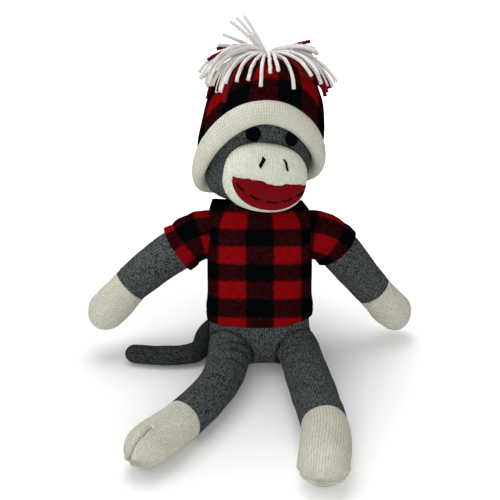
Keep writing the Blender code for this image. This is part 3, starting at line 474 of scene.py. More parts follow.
class Nodes:
    """A node tree, built by short calls."""

    def __init__(self, tree):
        self.tree = tree

    def node(self, kind, **settings):
        new = self.tree.nodes.new("ShaderNode" + kind)
        for key, value in settings.items():
            setattr(new, key, value)
        return new

    def put(self, socket, value):
        if isinstance(value, Value):
            self.tree.links.new(value.socket, socket)
        else:
            socket.default_value = value

    def read(self, kind, output, **settings):
        return Value(self, self.node(kind, **settings).outputs[output])

    def fed(self, kind, values, output=0, **settings):
        """One output of a new node whose first inputs get these values."""
        new = self.node(kind, **settings)
        for socket, value in zip(new.inputs, values):
            self.put(socket, value)
        return Value(self, new.outputs[output])

    def math(self, operation, *values):
        return self.fed("Math", values, operation=operation)

    def remap(self, value, low, high, to_low=0.0, to_high=1.0, smooth_step=False):
        kind = "SMOOTHSTEP" if smooth_step else "LINEAR"
        return self.fed("MapRange", (value, low, high, to_low, to_high), interpolation_type=kind)

    def mix(self, share, low, high):
        new = self.node("Mix", data_type="RGBA")
        for index, value in ((0, share), (6, low), (7, high)):
            if isinstance(value, tuple):
                value = (*value, 1)
            self.put(new.inputs[index], value)
        return Value(self, new.outputs[2])

    def uv(self):
        split = self.node("SeparateXYZ")
        self.put(split.inputs[0], self.read("UVMap", 0))
        return [Value(self, split.outputs[axis]) for axis in (0, 1)]

    def noise(self, size, detail=2.0):
        new = self.node("TexNoise")
        self.put(new.inputs["Vector"], self.read("TexCoord", "Object"))
        self.put(new.inputs["Scale"], 1 / size)
        self.put(new.inputs["Detail"], detail)
        return Value(self, new.outputs[0])

    def random(self, x, y):
        return self.fed("TexWhiteNoise", (self.fed("CombineXYZ", (x, y)),), noise_dimensions="2D")


class Shader(Nodes):
    """A cloth's or yarn's material."""

    def __init__(self, name, roughness=0.9, sheen=0.0, specular=0.0):
        self.material = bpy.data.materials.new(name)
        self.material.use_nodes = True
        super().__init__(self.material.node_tree)
        self.surface = self.tree.nodes["Principled BSDF"]
        self.set(roughness=roughness, sheen_weight=sheen, sheen_roughness=0.6, sheen_tint=(1, 1, 1, 1),
                 specular_ior_level=specular)

    def set(self, **values):
        for socket in self.surface.inputs:
            key = socket.name.lower().replace(" ", "_")
            if key in values:
                self.put(socket, values[key])

    def finish(self, colour, height, depth, strength=1.0):
        bump = self.node("Bump")
        for name, value in (("Height", height), ("Distance", depth), ("Strength", strength)):
            self.put(bump.inputs[name], value)
        self.set(normal=Value(self, bump.outputs[0]), base_color=colour)
        return self.material


def knit(name, dark, light, uneven=0.5, wale=WALE, course=COURSE, depth=STITCH_DEPTH, marl=0.0,
         broad_share=0.25, paint_crease_shade=False):
    """Stockinette: columns of V stitches, each stitch a little lighter or darker than the next. The ends of
    each stitch and the grooves between wales are darkened too, as painted shade.
    """
    s = Shader(name, sheen=0.02)
    u, v = s.uv()
    across = u / wale
    off = abs(across.fraction() - 0.5)
    along = v / course + off * 1.7
    arch = (along.fraction() * math.pi).sine() ** 0.7
    groove = 1.0 - (off * 2.0) ** 3.0
    stitch = arch * groove
    chance = s.random((across * 2.0).whole(), along.whole())
    fuzz = s.noise(0.9 * MM, 3.0)
    broad = s.noise(22 * MM)
    # stitch is painted shade of the stitches' relief; chance, fuzz, broad and marl are the yarn's own uneven
    # tone. dark is the colour of that painted shade and of the darkest flecks.
    shade = stitch * (1 - uneven) + (chance + (fuzz - 0.5)) * uneven
    shade = shade + (broad - 0.5) * broad_share
    if marl:
        shade = shade + (s.noise(1.5 * MM) - 0.5) * marl
    # Painted shade: darken the knit's colour in the creases and seam grooves that the mesh marks.
    if paint_crease_shade:
        painted_shade = s.read("Attribute", "Fac", attribute_name="painted_crease_shade")
        shade = shade.at_least(0.0) * (1.0 - painted_shade * 0.85)
    return s.finish(s.mix(shade, dark, light), stitch + fuzz * 0.35, depth)


def fleece(name, column=(CHECK, 0.0), row=(ROW, 0.0)):
    """Brushed fleece in a two-colour check: (width, middle of a red band) each way."""
    s = Shader(name, roughness=1.0)
    u, v = s.uv()
    wobble = (s.noise(2.2 * MM, 3.0) - 0.5) * (4.0 * MM)

    def band(place, width, middle):
        turn = ((place - middle + wobble) / (2 * width)).fraction()
        edge = 1.5 * MM / width
        return s.remap(abs(turn * 2.0 - 1.0), 0.5 - edge, 0.5 + edge, smooth_step=True)

    red_column = band(u, *column)
    red_row = band(v, *row)
    pile = s.noise(1.7 * MM, 3.0)
    clumps = s.noise(3.5 * MM, 3.0)
    twill = ((u + v) * (TURN / (2.4 * MM))).sine()
    tuft = (pile - 0.5) * 1.3 + (clumps * 0.6 + 0.2)
    fleck = s.remap((pile - 0.5) * 2.4 + twill * 0.22, -0.35, 1.1)
    maroon = s.mix(fleck, (0.0035, 0.0010, 0.0014), (0.058, 0.0060, 0.0070))
    red = s.mix(tuft, (0.105, 0.0010, 0.0016), (0.245, 0.0034, 0.0042))
    black = s.mix(pile, (0.0002, 0.0005, 0.0008), (0.0016, 0.0026, 0.0030))
    dark_row = s.mix(red_column, black, maroon)
    light_row = s.mix(red_column, maroon, red)
    return s.finish(s.mix(red_row, dark_row, light_row), clumps * 1.4 + pile, 0.9 * MM, 0.8)


def yarn(name, dark, light):
    s = Shader(name, sheen=0.03)
    u, v = s.uv()
    fibres = s.noise(0.5 * MM, 3.0)
    twist = ((u + v * 1.4) * (TURN / (1.1 * MM))).sine()
    # twist darkens the grooves between the plies as painted shade; fibres is the yarn's own uneven tone.
    shade = twist * 0.14 + s.remap(fibres, 0.3, 0.7, 0.15, 0.95)
    return s.finish(s.mix(shade, dark, light), fibres + twist * 0.3, 0.5 * MM, 0.8)


def felt(name, dark, light):
    s = Shader(name, roughness=0.95)
    pile = s.noise(0.7 * MM, 4.0)
    clumps = s.noise(2.4 * MM)
    return s.finish(s.mix(clumps * 0.5 + pile * 0.5, dark, light), pile, 0.6 * MM, 0.8)


LOOKS = {
    "grey": knit("grey_heather_knit", (0.0004, 0.0008, 0.0010), (0.122, 0.136, 0.139), uneven=0.42,
                 wale=2.3 * MM, course=1.8 * MM, marl=2.5, broad_share=0.10, paint_crease_shade=True),
    "charcoal": knit("charcoal_knit", (0.0006, 0.0010, 0.0012), (0.064, 0.076, 0.078), uneven=0.42,
                     wale=2.3 * MM, course=1.8 * MM, marl=2.3, broad_share=0.10),
    "cream": knit("cream_knit", (0.38, 0.37, 0.29), (0.80, 0.785, 0.66), uneven=0.3, wale=2.4 * MM,
                  course=2.1 * MM, paint_crease_shade=True),
    "rib": knit("cream_rib_knit", (0.46, 0.455, 0.36), (0.82, 0.815, 0.70), uneven=0.22, course=2.4 * MM),
    "muzzle": knit("cream_fine_knit", (0.46, 0.47, 0.38), (0.82, 0.835, 0.72), uneven=0.4,
                   wale=1.9 * MM, course=1.6 * MM, depth=0.45 * MM, marl=0.4),
    "lips": knit("red_knit", (0.085, 0.0008, 0.0024), (0.225, 0.0030, 0.0075), uneven=0.45,
                 wale=1.9 * MM, course=1.6 * MM, depth=0.35 * MM, marl=0.4),
    "shirt": fleece("plaid_fleece", (CHECK, CHECK), (ROW, 40.4 * MM)),
    "sleeve_left": fleece("plaid_fleece_sleeve_left", (SLEEVE_CHECK, -4 * MM), (SLEEVE_ROW, 14 * MM)),
    "sleeve_right": fleece("plaid_fleece_sleeve_right", (SLEEVE_CHECK, 6.5 * MM), (SLEEVE_ROW, 2 * MM)),
    "crown": fleece("plaid_fleece_hat", (24.7 * MM, 0.5 * MM), (HAT_ROW, 1 * MM)),
    "white_yarn": yarn("white_yarn", (0.56, 0.52, 0.49), (0.92, 0.90, 0.87)),
    "red_yarn": yarn("red_yarn", (0.055, 0.0006, 0.002), (0.24, 0.003, 0.009)),
    "felt": felt("black_felt", (0.0006, 0.0008, 0.0011), (0.0045, 0.005, 0.0065)),
    "thread": felt("black_thread", (0.0004, 0.0004, 0.0007), (0.004, 0.004, 0.0055)),
}


# Torso and shirt

def torso_grid(heights, columns):
    rows = []
    for height in heights:
        share = height / NECK_HEIGHT
        rise = min(1.0, height / SEAT_HEIGHT)
        points = ring(*half_sizes(TORSO_shares, share), TORSO_SQUARENESS, columns)
        axis_point = Vector((0, height * math.sin(LEAN), height * math.cos(LEAN)))
        centre = Vector((0, SEAT_SETBACK, height)).lerp(axis_point, rise)
        tilt = Matrix.Translation(centre) @ Matrix.Rotation(-LEAN * rise, 4, "X")
        rows.append(placed(level_row(points, 0.0), tilt))
    return np.array(rows)


def torso_distance(points):
    """How far points lie outside the torso, measured level with its rings."""
    low = np.full(points.shape[:-1], -5 * MM)
    high = np.full(points.shape[:-1], NECK_HEIGHT)

    def ring_frame(height):
        rise = np.clip(height / SEAT_HEIGHT, 0, 1)
        tilt = LEAN * rise
        y = SEAT_SETBACK * (1 - rise) + height * math.sin(LEAN) * rise
        z = height * (1 - rise) + height * math.cos(LEAN) * rise
        return y, z, np.sin(tilt), np.cos(tilt)

    for _ in range(24):
        middle = (low + high) / 2
        y, z, lean, stand = ring_frame(middle)
        above = (points[..., 1] - y) * lean + (points[..., 2] - z) * stand > 0
        low = np.where(above, middle, low)
        high = np.where(above, high, middle)
    y, z, lean, stand = ring_frame(low)
    back = (points[..., 1] - y) * stand - (points[..., 2] - z) * lean
    half_x, half_y = half_sizes(TORSO_shares, np.clip(low / NECK_HEIGHT, 0, 1))
    n = TORSO_SQUARENESS
    reach = (np.abs(points[..., 0] / half_x) ** n + np.abs(back / half_y) ** n) ** (1 / n)
    return np.hypot(points[..., 0], back) * (1 - 1 / np.maximum(reach, 1e-3))


def hip_centre(side):
    return Vector((HIP_OFFSET + SIGN[side] * HIP_SPACING / 2, -HIP_FORWARD, thigh_radius(side) - FLOOR_FLAT))


def thigh_radius(side):
    return LEG_RADIUS * LEG_GIRTH_shares[side]


def leg_length(side):
    return LEG_LENGTH * LEG_LENGTH_shares[side]


def leg_shape(side, shares):
    """The leg's middle line about the hip and its girth there: points, radii and headings."""
    radii = thigh_radius(side) * smooth(LEG_RADIUS_shares[side], shares)
    toe = np.clip((shares - LEG_ANKLE_share) / (1 - LEG_ANKLE_share), 0, 1)
    rise = radii - thigh_radius(side) + TOE_RISE * toe ** 2
    ahead, aside, heading = bent_line(leg_length(side), LEG_BENDS[side], shares)
    return np.stack([SIGN[side] * aside, -ahead, rise], 1), radii, heading


def thigh_distance(points, side):
    """How far points lie outside the leg, and the way out of it."""
    line, radii, _ = leg_shape(side, np.linspace(0, 1, 90))
    line = line + np.array(hip_centre(side))
    best = np.full(points.shape[:-1], 1.0)
    way = np.zeros_like(points)
    for centre, radius in zip(line, radii):
        off = points - centre
        far = np.linalg.norm(off, axis=-1)
        nearer = far - radius < best
        best = np.where(nearer, far - radius, best)
        way = np.where(nearer[..., None], off / np.maximum(far, 1e-9)[..., None], way)
    return best, way


def torso_way(points):
    """The way out of the torso at points near its surface."""
    step = 0.5 * MM
    slopes = []
    for axis in np.eye(3):
        slopes.append(torso_distance(points + step * axis) - torso_distance(points - step * axis))
    return unit(np.stack(slopes, -1))


def flowed(grid, own, other, other_way):
    """Lift a grid near the groin, so that the belly and the thigh flow into each other at a soft crease. Also
    give the crease's share at each point, which darkens the knit there as painted shade.
    """
    beyond = own - other
    near = np.clip(1 - np.abs(beyond) / FILLET, 0, 1)
    out = outward(grid)
    way = unit(out * (1 - near / 2)[..., None] + other_way * (near / 2)[..., None])
    hidden = np.clip(1 - beyond / (5 * MM), 0, 1)
    lift = FILLET / 4 * near ** 2 * hidden / np.maximum((way * out).sum(-1), 0.5)
    low = np.clip(1.25 - grid[..., 2] / (42 * MM), 0.08, 1)
    # crease presses the groin's groove in, and is also painted as shade in the knit's colour.
    crease = low * bell(beyond, 0.0, GROIN_WIDTH) * (near > 0)
    return grid + lift[..., None] * way - GROIN_DEPTH * crease[..., None] * out, crease


def keep_crease_shade(piece, depth):
    """Keep, from 0 to 1, how far into a crease each point of a piece lies: painted shade, which darkens the
    knit's colour there.
    """
    values = np.zeros(len(piece.data.vertices), np.float32)
    values[:depth.size] = np.clip(depth, 0, 1).ravel()
    piece.data.attributes.new("painted_crease_shade", "FLOAT", "POINT").data.foreach_set("value", values)


def build_torso():
    heights = np.concatenate([np.linspace(0, 0.06, 16)[:-1], np.linspace(0.06, 0.34, 60)[:-1],
                              np.linspace(0.34, 1.0, 30)]) * NECK_HEIGHT
    grid = torso_grid(heights, 200)
    grid = swollen(grid, lumps(grid, 26 * MM, 0.7 * MM, 1))
    crease_shade = np.zeros(grid.shape[:2])
    for side in SIDES:
        other, way = thigh_distance(grid, side)
        grid, crease = flowed(grid, torso_distance(grid), other, way)
        # Painted shade: the groin's crease, kept to darken the knit's colour there.
        crease_shade = np.maximum(crease_shade, crease)
    grid[..., 2] = np.maximum(grid[..., 2], 0.0)
    torso = lofted("torso_knit", grid, TORSO_WALES * WALE, start=(0, SEAT_SETBACK, 0), end=grid[-1].mean(0))
    keep_crease_shade(torso, crease_shade)
    dress(torso, LOOKS["grey"], "torso", ("torso_skin", "torso_stuffing"))


def shirt_grid(columns=192):
    """The shirt's outer surface in the torso's frame, from the hem's underside up to the collar."""
    rows = []
    for height in np.linspace(HEM_HEIGHT, 0.992 * NECK_HEIGHT, 76):
        share = height / NECK_HEIGHT
        hem = HEM_SWELL / (1 + math.exp((height - HEM_HEIGHT - HEM_WIDTH) / (0.5 * MM)))
        half_x, half_y = half_sizes(SHIRT_shares, share, GAP + FLEECE)
        below_collar = min(1.0, max(0.0, (0.95 - share) / 0.12))
        square = TORSO_SQUARENESS + (SHIRT_SQUARENESS - TORSO_SQUARENESS) * below_collar
        rows.append(level_row(ring(half_x + hem, half_y + hem, square, columns), height))
    return np.array(rows)


def build_shirt():
    grid = shirt_grid()
    above_hem = np.clip((grid[..., 2] - HEM_HEIGHT) / (60 * MM), 0, 1)
    grid = swollen(grid, lumps(grid * (1, 1, 0.45), 17 * MM, 0.9 * MM, 4) * (0.5 + 0.5 * above_hem))
    grid = swollen(grid, -0.5 * MM * bell(grid[..., 2], HEM_HEIGHT + HEM_WIDTH, 1.1 * MM))
    bag = 1.3 * MM * bell(grid[..., 2] - HEM_HEIGHT, 14 * MM, 9 * MM)
    grid = swollen(grid, bag * (np.abs(grid[..., 0]) / TORSO_HALF_WIDTH) ** 2)
    on_left = grid[..., 0] > 0
    wide = np.clip(np.abs(grid[..., 0]) / TORSO_HALF_WIDTH, 0, 1)
    hem_lift = np.where(on_left, HEM_LIFT["left"], HEM_LIFT["right"])
    near_hem = np.clip(1 - (grid[..., 2] - HEM_HEIGHT) / HEM_LIFT_REACH, 0, 1)
    collar_lift = np.where(on_left, COLLAR_LIFT["left"], COLLAR_LIFT["right"])
    collar = np.clip((grid[..., 2] / NECK_HEIGHT - COLLAR_FROM_share) / COLLAR_SPAN_share, 0, 1) ** 2
    raised = hem_lift * wide ** 2 * near_hem ** 1.5 + collar_lift * wide ** 2.5 * collar
    grid[..., 0] *= 1 - COLLAR_NARROWING * collar * on_left
    grid[..., 2] += raised
    front = -TORSO_HALF_DEPTH
    for sign in (-1, 1):
        path = [(sign * 46 * MM, front + 10 * MM, 104 * MM), (sign * 36 * MM, front, 92 * MM)]
        grid = creased(grid, path, 0.8 * MM, 2.6 * MM)
    shirt = lofted("shirt_cloth", placed(grid, TORSO_AXIS), TURN * SHIRT_GIRTH_RADIUS, v_start=HEM_HEIGHT,
                   v_lift=raised)
    dress(thickened(shirt, FLEECE), LOOKS["shirt"], "torso", ("shirt_front", "shirt_back"))


# Head

def build_head():
    columns = 128
    turns = np.radians(np.linspace(-64, 86, 76))
    rows = []
    for turn in turns:
        share = float(power(math.sin(turn), 2 / HEAD_SQUARENESS))
        depth = HEAD_HALF_DEPTH * (1 - abs(share) ** HEAD_SQUARENESS) ** (1 / HEAD_SQUARENESS)
        cheek = CHEEK_SQUARENESS if share < 0 else HEAD_SQUARENESS
        width = HEAD_HALF_WIDTH * (1 - abs(share) ** cheek) ** (1 / cheek)
        rows.append(level_row(ring(width, depth, 2, columns), HEAD_HALF_HEIGHT * share))
    grid = np.array(rows)
    low = bell(grid[..., 2], -CHEEK_DROP, CHEEK_SPREAD)
    grid = swollen(grid, CHEEK_SAG * low * np.clip(-grid[..., 0] / HEAD_HALF_WIDTH, 0, 1) ** 2)
    grid = swollen(grid, lumps(grid, 24 * MM, 0.5 * MM, 9))
    head = lofted("head_knit", placed(grid, HEAD_AXIS), HEAD_WALES * WALE,
                  start=HEAD_AXIS @ Vector((0, 0, NECK_HEIGHT - HEAD_CENTRE_HEIGHT + 2 * GAP)),
                  end=HEAD_AXIS @ Vector((0, 0, HEAD_HALF_HEIGHT)))
    dress(head, LOOKS["grey"], "head", ("head_skin", "head_stuffing"))


def muzzle_front(x, z):
    """How far the muzzle's face stands ahead of the head's centre, at a point of its outline plane."""
    n = MUZZLE_OUTLINE
    reach = (np.abs(x / MUZZLE_HALF_WIDTH) ** n + np.abs(z / MUZZLE_HALF_HEIGHT) ** n) ** (1 / n)
    reach = np.minimum(1.0, reach)
    return MUZZLE_BASE + MUZZLE_DEPTH * (1 - reach ** MUZZLE_CROWN) ** (1 / MUZZLE_CROWN)


def on_muzzle(x, z, lift):
    """Points lifted off the muzzle's face, in the face's frame."""
    x, z = np.asarray(x, float), np.asarray(z, float)
    step = MM
    slope_x = (muzzle_front(x + step, z) - muzzle_front(x - step, z)) / (2 * step)
    slope_z = (muzzle_front(x, z + step) - muzzle_front(x, z - step)) / (2 * step)
    normal = unit(np.stack([-slope_x, -np.ones_like(x), -slope_z], -1))
    point = np.stack([x, -muzzle_front(x, z), z - MUZZLE_DROP], -1)
    return point + np.asarray(lift)[..., None] * normal


def build_muzzle():
    columns = 144
    rows = []
    for back in np.linspace(1, 0, 12):
        girth = 1 - (1 - MUZZLE_BACK_share) * back
        outline = ring(MUZZLE_HALF_WIDTH * girth, MUZZLE_HALF_HEIGHT * girth, MUZZLE_OUTLINE, columns)
        depth = np.full(columns, MUZZLE_SKIRT * back - MUZZLE_BASE)
        rows.append(np.stack([outline[:, 0], depth, outline[:, 1] - MUZZLE_DROP], 1))
    for girth in 1 - np.linspace(0.04, 0.985, 44) ** 1.7:
        outline = ring(MUZZLE_HALF_WIDTH * girth, MUZZLE_HALF_HEIGHT * girth, MUZZLE_OUTLINE, columns)
        rows.append(on_muzzle(outline[:, 0], outline[:, 1], 0.0))
    grid = np.array(rows)
    radial = np.arctan2(grid[..., 2] + MUZZLE_DROP, grid[..., 0])
    rim = bell(-grid[..., 1], MUZZLE_BASE, 9 * MM)
    gathers = 0.28 * MM * np.sin(radial * 68) * rim
    grid = swollen(grid, lumps(grid, 15 * MM, 0.5 * MM, 12) + gathers)
    uv = np.stack([grid[..., 0], grid[..., 2]], 2)
    muzzle = lofted("muzzle_knit", placed(grid, FACE_AXIS), uv=uv, end=placed(grid, FACE_AXIS)[-1].mean(0))
    dress(muzzle, LOOKS["muzzle"], "head", ("muzzle", "muzzle_stuffing"))


def lip_top(x):
    """The lips' upper edge: nearly straight, pressed down where the cream cloth rolls over it."""
    notch = LIP_NOTCH * bell(x, LIP_NOTCH_PLACE, LIP_NOTCH_WIDTH)
    return -LIP_TOP_DROP - notch + (0.3 * np.sin(x / (1.9 * MM)) + 0.2 * np.sin(x / (1.1 * MM) + 1)) * MM


def mouth_height(x):
    across = (x - MOUTH_SHIFT) / MUZZLE_HALF_WIDTH
    return MUZZLE_HALF_HEIGHT * (MOUTH_LIFT_share * across * across - MOUTH_LOW_share)


def build_lips():
    columns, lines = 180, 34
    corner = math.asin((LIP_TOP_DROP / LIP_DEPTH) ** (LIP_OUTLINE / 2))
    turns = np.linspace(math.pi + corner, 2 * math.pi - corner, columns)
    x = LIP_SHIFT + LIP_HALF_WIDTH * power(np.cos(turns), 2 / LIP_OUTLINE)
    z = LIP_DEPTH * power(np.sin(turns), 2 / LIP_OUTLINE)
    share = np.linspace(0, 1, lines)[:, None]
    zs = z + (np.maximum(z, lip_top(x)) - z) * share
    xs = np.broadcast_to(x, zs.shape)
    ends = np.minimum(1, np.sin(np.linspace(0, math.pi, columns)) * 5)
    edge = np.minimum(1, np.minimum(share, 1 - share) * 9)
    lift = 0.35 * MM + LIP_SWELL * np.sqrt(edge) * ends
    for start, finish in STITCH_shares:
        for part in np.linspace(0, 1, 5):
            px = MUZZLE_HALF_WIDTH * (start + (finish - start) * part)
            far = np.hypot(xs - px, zs - mouth_height(px)) / (2.2 * MM)
            lift = lift - (0.35 if 0 < part < 1 else 0.75) * MM * bell(far) * 0.7
    lift = np.maximum(lift, 0.3 * MM)
    grid = on_muzzle(xs, zs, lift)
    uv = np.stack([xs, zs], 2)
    lips = lofted("lips_knit", placed(grid, FACE_AXIS), uv=uv, closed=False)
    dress(thickened(lips, LIP_THICKNESS), LOOKS["lips"], "head", ("lips",))


def tube(path, radii, columns=12, lobes=0, lobe=0.0, twist=0.0):
    """A grid round a line of points, with as many twisted lobes as a plied yarn has."""
    path = np.asarray(path, float)
    tangents = unit(np.gradient(path, axis=0))
    turns = turns_round(columns)
    side = np.cross(tangents[0], (0.31, 0.17, 0.93))
    rows = []
    run = 0.0
    for i, (point, tangent) in enumerate(zip(path, tangents)):
        side = unit(side - (side @ tangent) * tangent)
        up = np.cross(tangent, side)
        if i:
            run += np.linalg.norm(point - path[i - 1])
        girth = radii[i] * (1 + lobe * np.cos(lobes * (turns + twist * run)))
        rows.append(point + girth[:, None] * (np.cos(turns)[:, None] * side + np.sin(turns)[:, None] * up))
    return np.array(rows)


def thread_piece(name, path, radius, matrix, node):
    """A short length of twisted thread whose ends go down into the cloth."""
    share = np.linspace(0, 1, len(path))
    radii = radius * np.clip(3.2 * np.sqrt(np.minimum(share, 1 - share)) + 0.35, 0, 1)
    grid = placed(tube(path, radii, 10, 3, 0.14, TURN / THREAD_TWIST / 3), matrix)
    piece = lofted(name, grid, TURN * radius, start=grid[0].mean(0), end=grid[-1].mean(0))
    dress(piece, LOOKS["thread"], "head", (node,))


def build_stitches():
    for index, (start, finish) in enumerate(STITCH_shares):
        x = MUZZLE_HALF_WIDTH * np.linspace(start, finish, 15)
        z = mouth_height(x) + 0.2 * MM * np.sin(x / (1.7 * MM))
        lift = (0.6 + 1.7 * np.sin(np.linspace(0, math.pi, 15)) ** 0.6) * MM
        name = "mouth_stitch_%d" % (index + 1)
        thread_piece("thread_" + name, on_muzzle(x, z, lift), THREAD_RADIUS, FACE_AXIS, name)


def build_nostrils():
    """Each nostril is a satin stitch: three threads side by side, each a little lower than the last."""
    share = np.linspace(0, 1, 13)
    lift = (0.1 + 0.9 * np.sin(share * math.pi) ** 0.5) * MM
    radii = NOSTRIL_THREAD_RADIUS * np.clip(np.sin(share * math.pi) * 3 + 0.3, 0, 1)
    spacing = NOSTRIL_TOP_SPACING + (NOSTRIL_FOOT_SPACING - NOSTRIL_TOP_SPACING) * share
    for side in SIDES:
        grids = []
        for strand in (-1, 0, 1):
            x = NOSTRIL_SHIFT + SIGN[side] * spacing / 2
            x = x + NOSTRIL_THREAD_STEP * strand + 0.25 * MM * np.sin(share * 5 + strand)
            z = NOSTRIL_HEIGHT + (NOSTRIL_FOOT - NOSTRIL_HEIGHT) * (share * 0.86 + 0.07 + 0.09 * strand)
            thread = tube(on_muzzle(x, z, lift), radii, 10, 3, 0.12, TURN / NOSTRIL_THREAD_TWIST / 3)
            grids.append(placed(thread, FACE_AXIS))
        piece = joined("thread_nostril_" + side, grids, 4 * MM)
        dress(piece, LOOKS["thread"], "head", ("nostril_" + side,))


def joined(name, grids, around):
    """Several closed tubes as one mesh."""
    bm = bmesh.new()
    for grid in grids:
        part = lofted(name + "_part", grid, around, start=grid[0].mean(0), end=grid[-1].mean(0))
        old = part.data
        bm.from_mesh(old)
        bpy.data.objects.remove(part)
        bpy.data.meshes.remove(old)
    mesh = bpy.data.meshes.new(name)
    bm.to_mesh(mesh)
    bm.free()
    mesh.shade_smooth()
    return made(name, mesh)


def build_eyes():
    """Thick discs of felt with softly rounded rims, lying on the head."""
    for side in SIDES:
        x = EYE_SHIFT + SIGN[side] * EYE_SPACING / 2
        ahead = HEAD_HALF_DEPTH * math.sqrt(1 - (x / HEAD_HALF_WIDTH) ** 2)
        normal = Vector((x / HEAD_HALF_WIDTH ** 2, -ahead / HEAD_HALF_DEPTH ** 2,
                         EYE_RISE / HEAD_HALF_HEIGHT ** 2)).normalized()
        turn = Vector((0, 0, 1)).rotation_difference(normal).to_matrix().to_4x4()
        place = FACE_AXIS @ Matrix.Translation(Vector((x, -ahead, EYE_RISE)) - normal * 0.6 * MM) @ turn
        rows = []
        for share, height in EYE_PROFILE:
            rows.append(level_row(ring(EYE_RADIUS * share, EYE_RADIUS * share, 2, 64), height * MM))
        grid = np.array(rows)
        grid = swollen(grid, lumps(grid, 3 * MM, 0.22 * MM, 20 + SIGN[side]))
        grid = placed(grid, place)
        eye = lofted("eye_felt_" + side, grid, TURN * EYE_RADIUS,
                     start=grid[0].mean(0), end=place @ Vector((0, 0, 2.8 * MM)))
        dress(eye, LOOKS["felt"], "head", ("eye_" + side,))


# Hat, drawn in the torso's frame

def brim_line(turns):
    """The brim's middle line: turn 0 is at the front, a quarter turn at the doll's left."""
    dip = ((1 + np.cos(turns)) / 2) ** BRIM_DIP
    height = BRIM_BACK_HEIGHT + (BRIM_FRONT_HEIGHT - BRIM_BACK_HEIGHT) * dip + BRIM_TILT * np.sin(turns)
    return np.stack([HAT_SHIFT + BRIM_HALF_WIDTH * np.sin(turns),
                     BRIM_SETBACK - BRIM_HALF_DEPTH * np.cos(turns), height], -1)


def build_brim():
    """A rolled cuff: ovals round the head, whose long way lies along the head."""
    count, columns = 360, 40
    turns = np.linspace(math.pi, 3 * math.pi, count + 1)
    centres = brim_line(turns)
    tangents = unit(brim_line(turns + 0.01) - brim_line(turns - 0.01))
    away = np.stack([np.sin(turns), -np.cos(turns), np.zeros_like(turns)], 1)
    along = unit(np.cross(tangents, away))
    angles = turns_round(columns)
    soft = np.array([noise.noise(Vector((math.cos(t) * 2.1, math.sin(t) * 2.1, 3.3))) for t in turns])
    half = BRIM_THICKNESS / 2 * (1 + 0.05 * soft)
    band = BRIM_BAND / 2 * (1 + 0.05 * np.roll(soft, 40))
    band[-1] = band[0]
    grid = (centres[:, None] + (half[:, None] * power(np.cos(angles), 0.92))[..., None] * away[:, None]
            + (band[:, None] * power(np.sin(angles), 0.92))[..., None] * along[:, None])
    ribs = round(run_along(centres)[-1] / WALE)
    u = np.linspace(0, ribs * WALE, count + 1)
    v = np.arange(columns + 1) / columns * TURN * math.sqrt(BRIM_THICKNESS * BRIM_BAND) / 2
    uv = np.stack(np.meshgrid(u, v, indexing="ij"), 2)
    brim = lofted("hat_brim_knit", placed(grid, TORSO_AXIS), uv=uv[:, :-1], weld=True)
    fix = brim.data.uv_layers[0].data
    for face in brim.data.polygons:
        values = [fix[i].uv[1] for i in face.loop_indices]
        if max(values) - min(values) > v[-1] / 2:
            for i in face.loop_indices:
                if fix[i].uv[1] < v[-1] / 2:
                    fix[i].uv[1] += v[-1]
    dress(brim, LOOKS["rib"], "hat", ("hat_brim",))


def crown_height_at(x, y):
    """The crown's height over a point of its plan."""
    ahead = (y - BRIM_SETBACK) / BRIM_HALF_DEPTH
    across = (x - HAT_SHIFT - CROWN_LEAN) / (BRIM_HALF_WIDTH * (1 + CROWN_BULGE_share))
    level = np.sqrt(max(0.0, 1 - math.hypot(across, ahead) ** (2 / CROWN_FULLNESS)))
    rim = brim_line(math.atan2(across, -ahead))[2]
    return rim + (CROWN_HEIGHT - rim) * level


def build_crown():
    columns = 192
    turns = np.linspace(math.pi, 3 * math.pi, columns, endpoint=False)
    rim = brim_line(turns)
    rows = []
    for rise in np.radians(np.concatenate([np.linspace(0, 60, 44)[:-1], np.linspace(60, 88, 24)])):
        girth = math.cos(rise) ** CROWN_FULLNESS
        half_width = BRIM_HALF_WIDTH * (1 + CROWN_BULGE_share * math.sin(2 * rise)) * girth
        half_width += CROWN_FULLER * min(1, rise / math.radians(9)) * math.cos(rise)
        rows.append(np.stack([HAT_SHIFT + CROWN_LEAN * math.sin(rise) + half_width * np.sin(turns),
                              BRIM_SETBACK * girth - BRIM_HALF_DEPTH * girth * np.cos(turns),
                              rim[:, 2] + (CROWN_HEIGHT - rim[:, 2]) * math.sin(rise)], 1))
    grid = np.array(rows)
    middle = np.hypot(grid[..., 0] - HAT_SHIFT - CROWN_LEAN, grid[..., 1])
    gathers = np.cos(turns * CROWN_GATHERS + 2 * np.sin(turns * 2))
    gathers = CROWN_GATHER_DEPTH * gathers * bell(middle, 18 * MM, 16 * MM)
    grid = swollen(grid, gathers + lumps(grid, 21 * MM, 1.4 * MM, 31))
    steps = np.linalg.norm(np.diff(grid, axis=0), axis=2)
    rise = np.concatenate([np.zeros((1, columns)), np.cumsum(steps, axis=0)])
    around = TURN * (BRIM_HALF_WIDTH + BRIM_HALF_DEPTH) / 2
    u = np.linspace(-around / 2, around / 2, columns, endpoint=False)
    uv = np.stack([np.broadcast_to(u, rise.shape), rise], 2)
    uv = np.concatenate([uv, uv[:, :1] + (around, 0)], 1)
    grid = np.concatenate([grid, grid[:, :1]], 1)
    crown = lofted("hat_crown_cloth", placed(grid, TORSO_AXIS), uv=uv, closed=False, weld=True)
    dress(thickened(crown, FLEECE), LOOKS["crown"], "hat", ("hat_crown",))


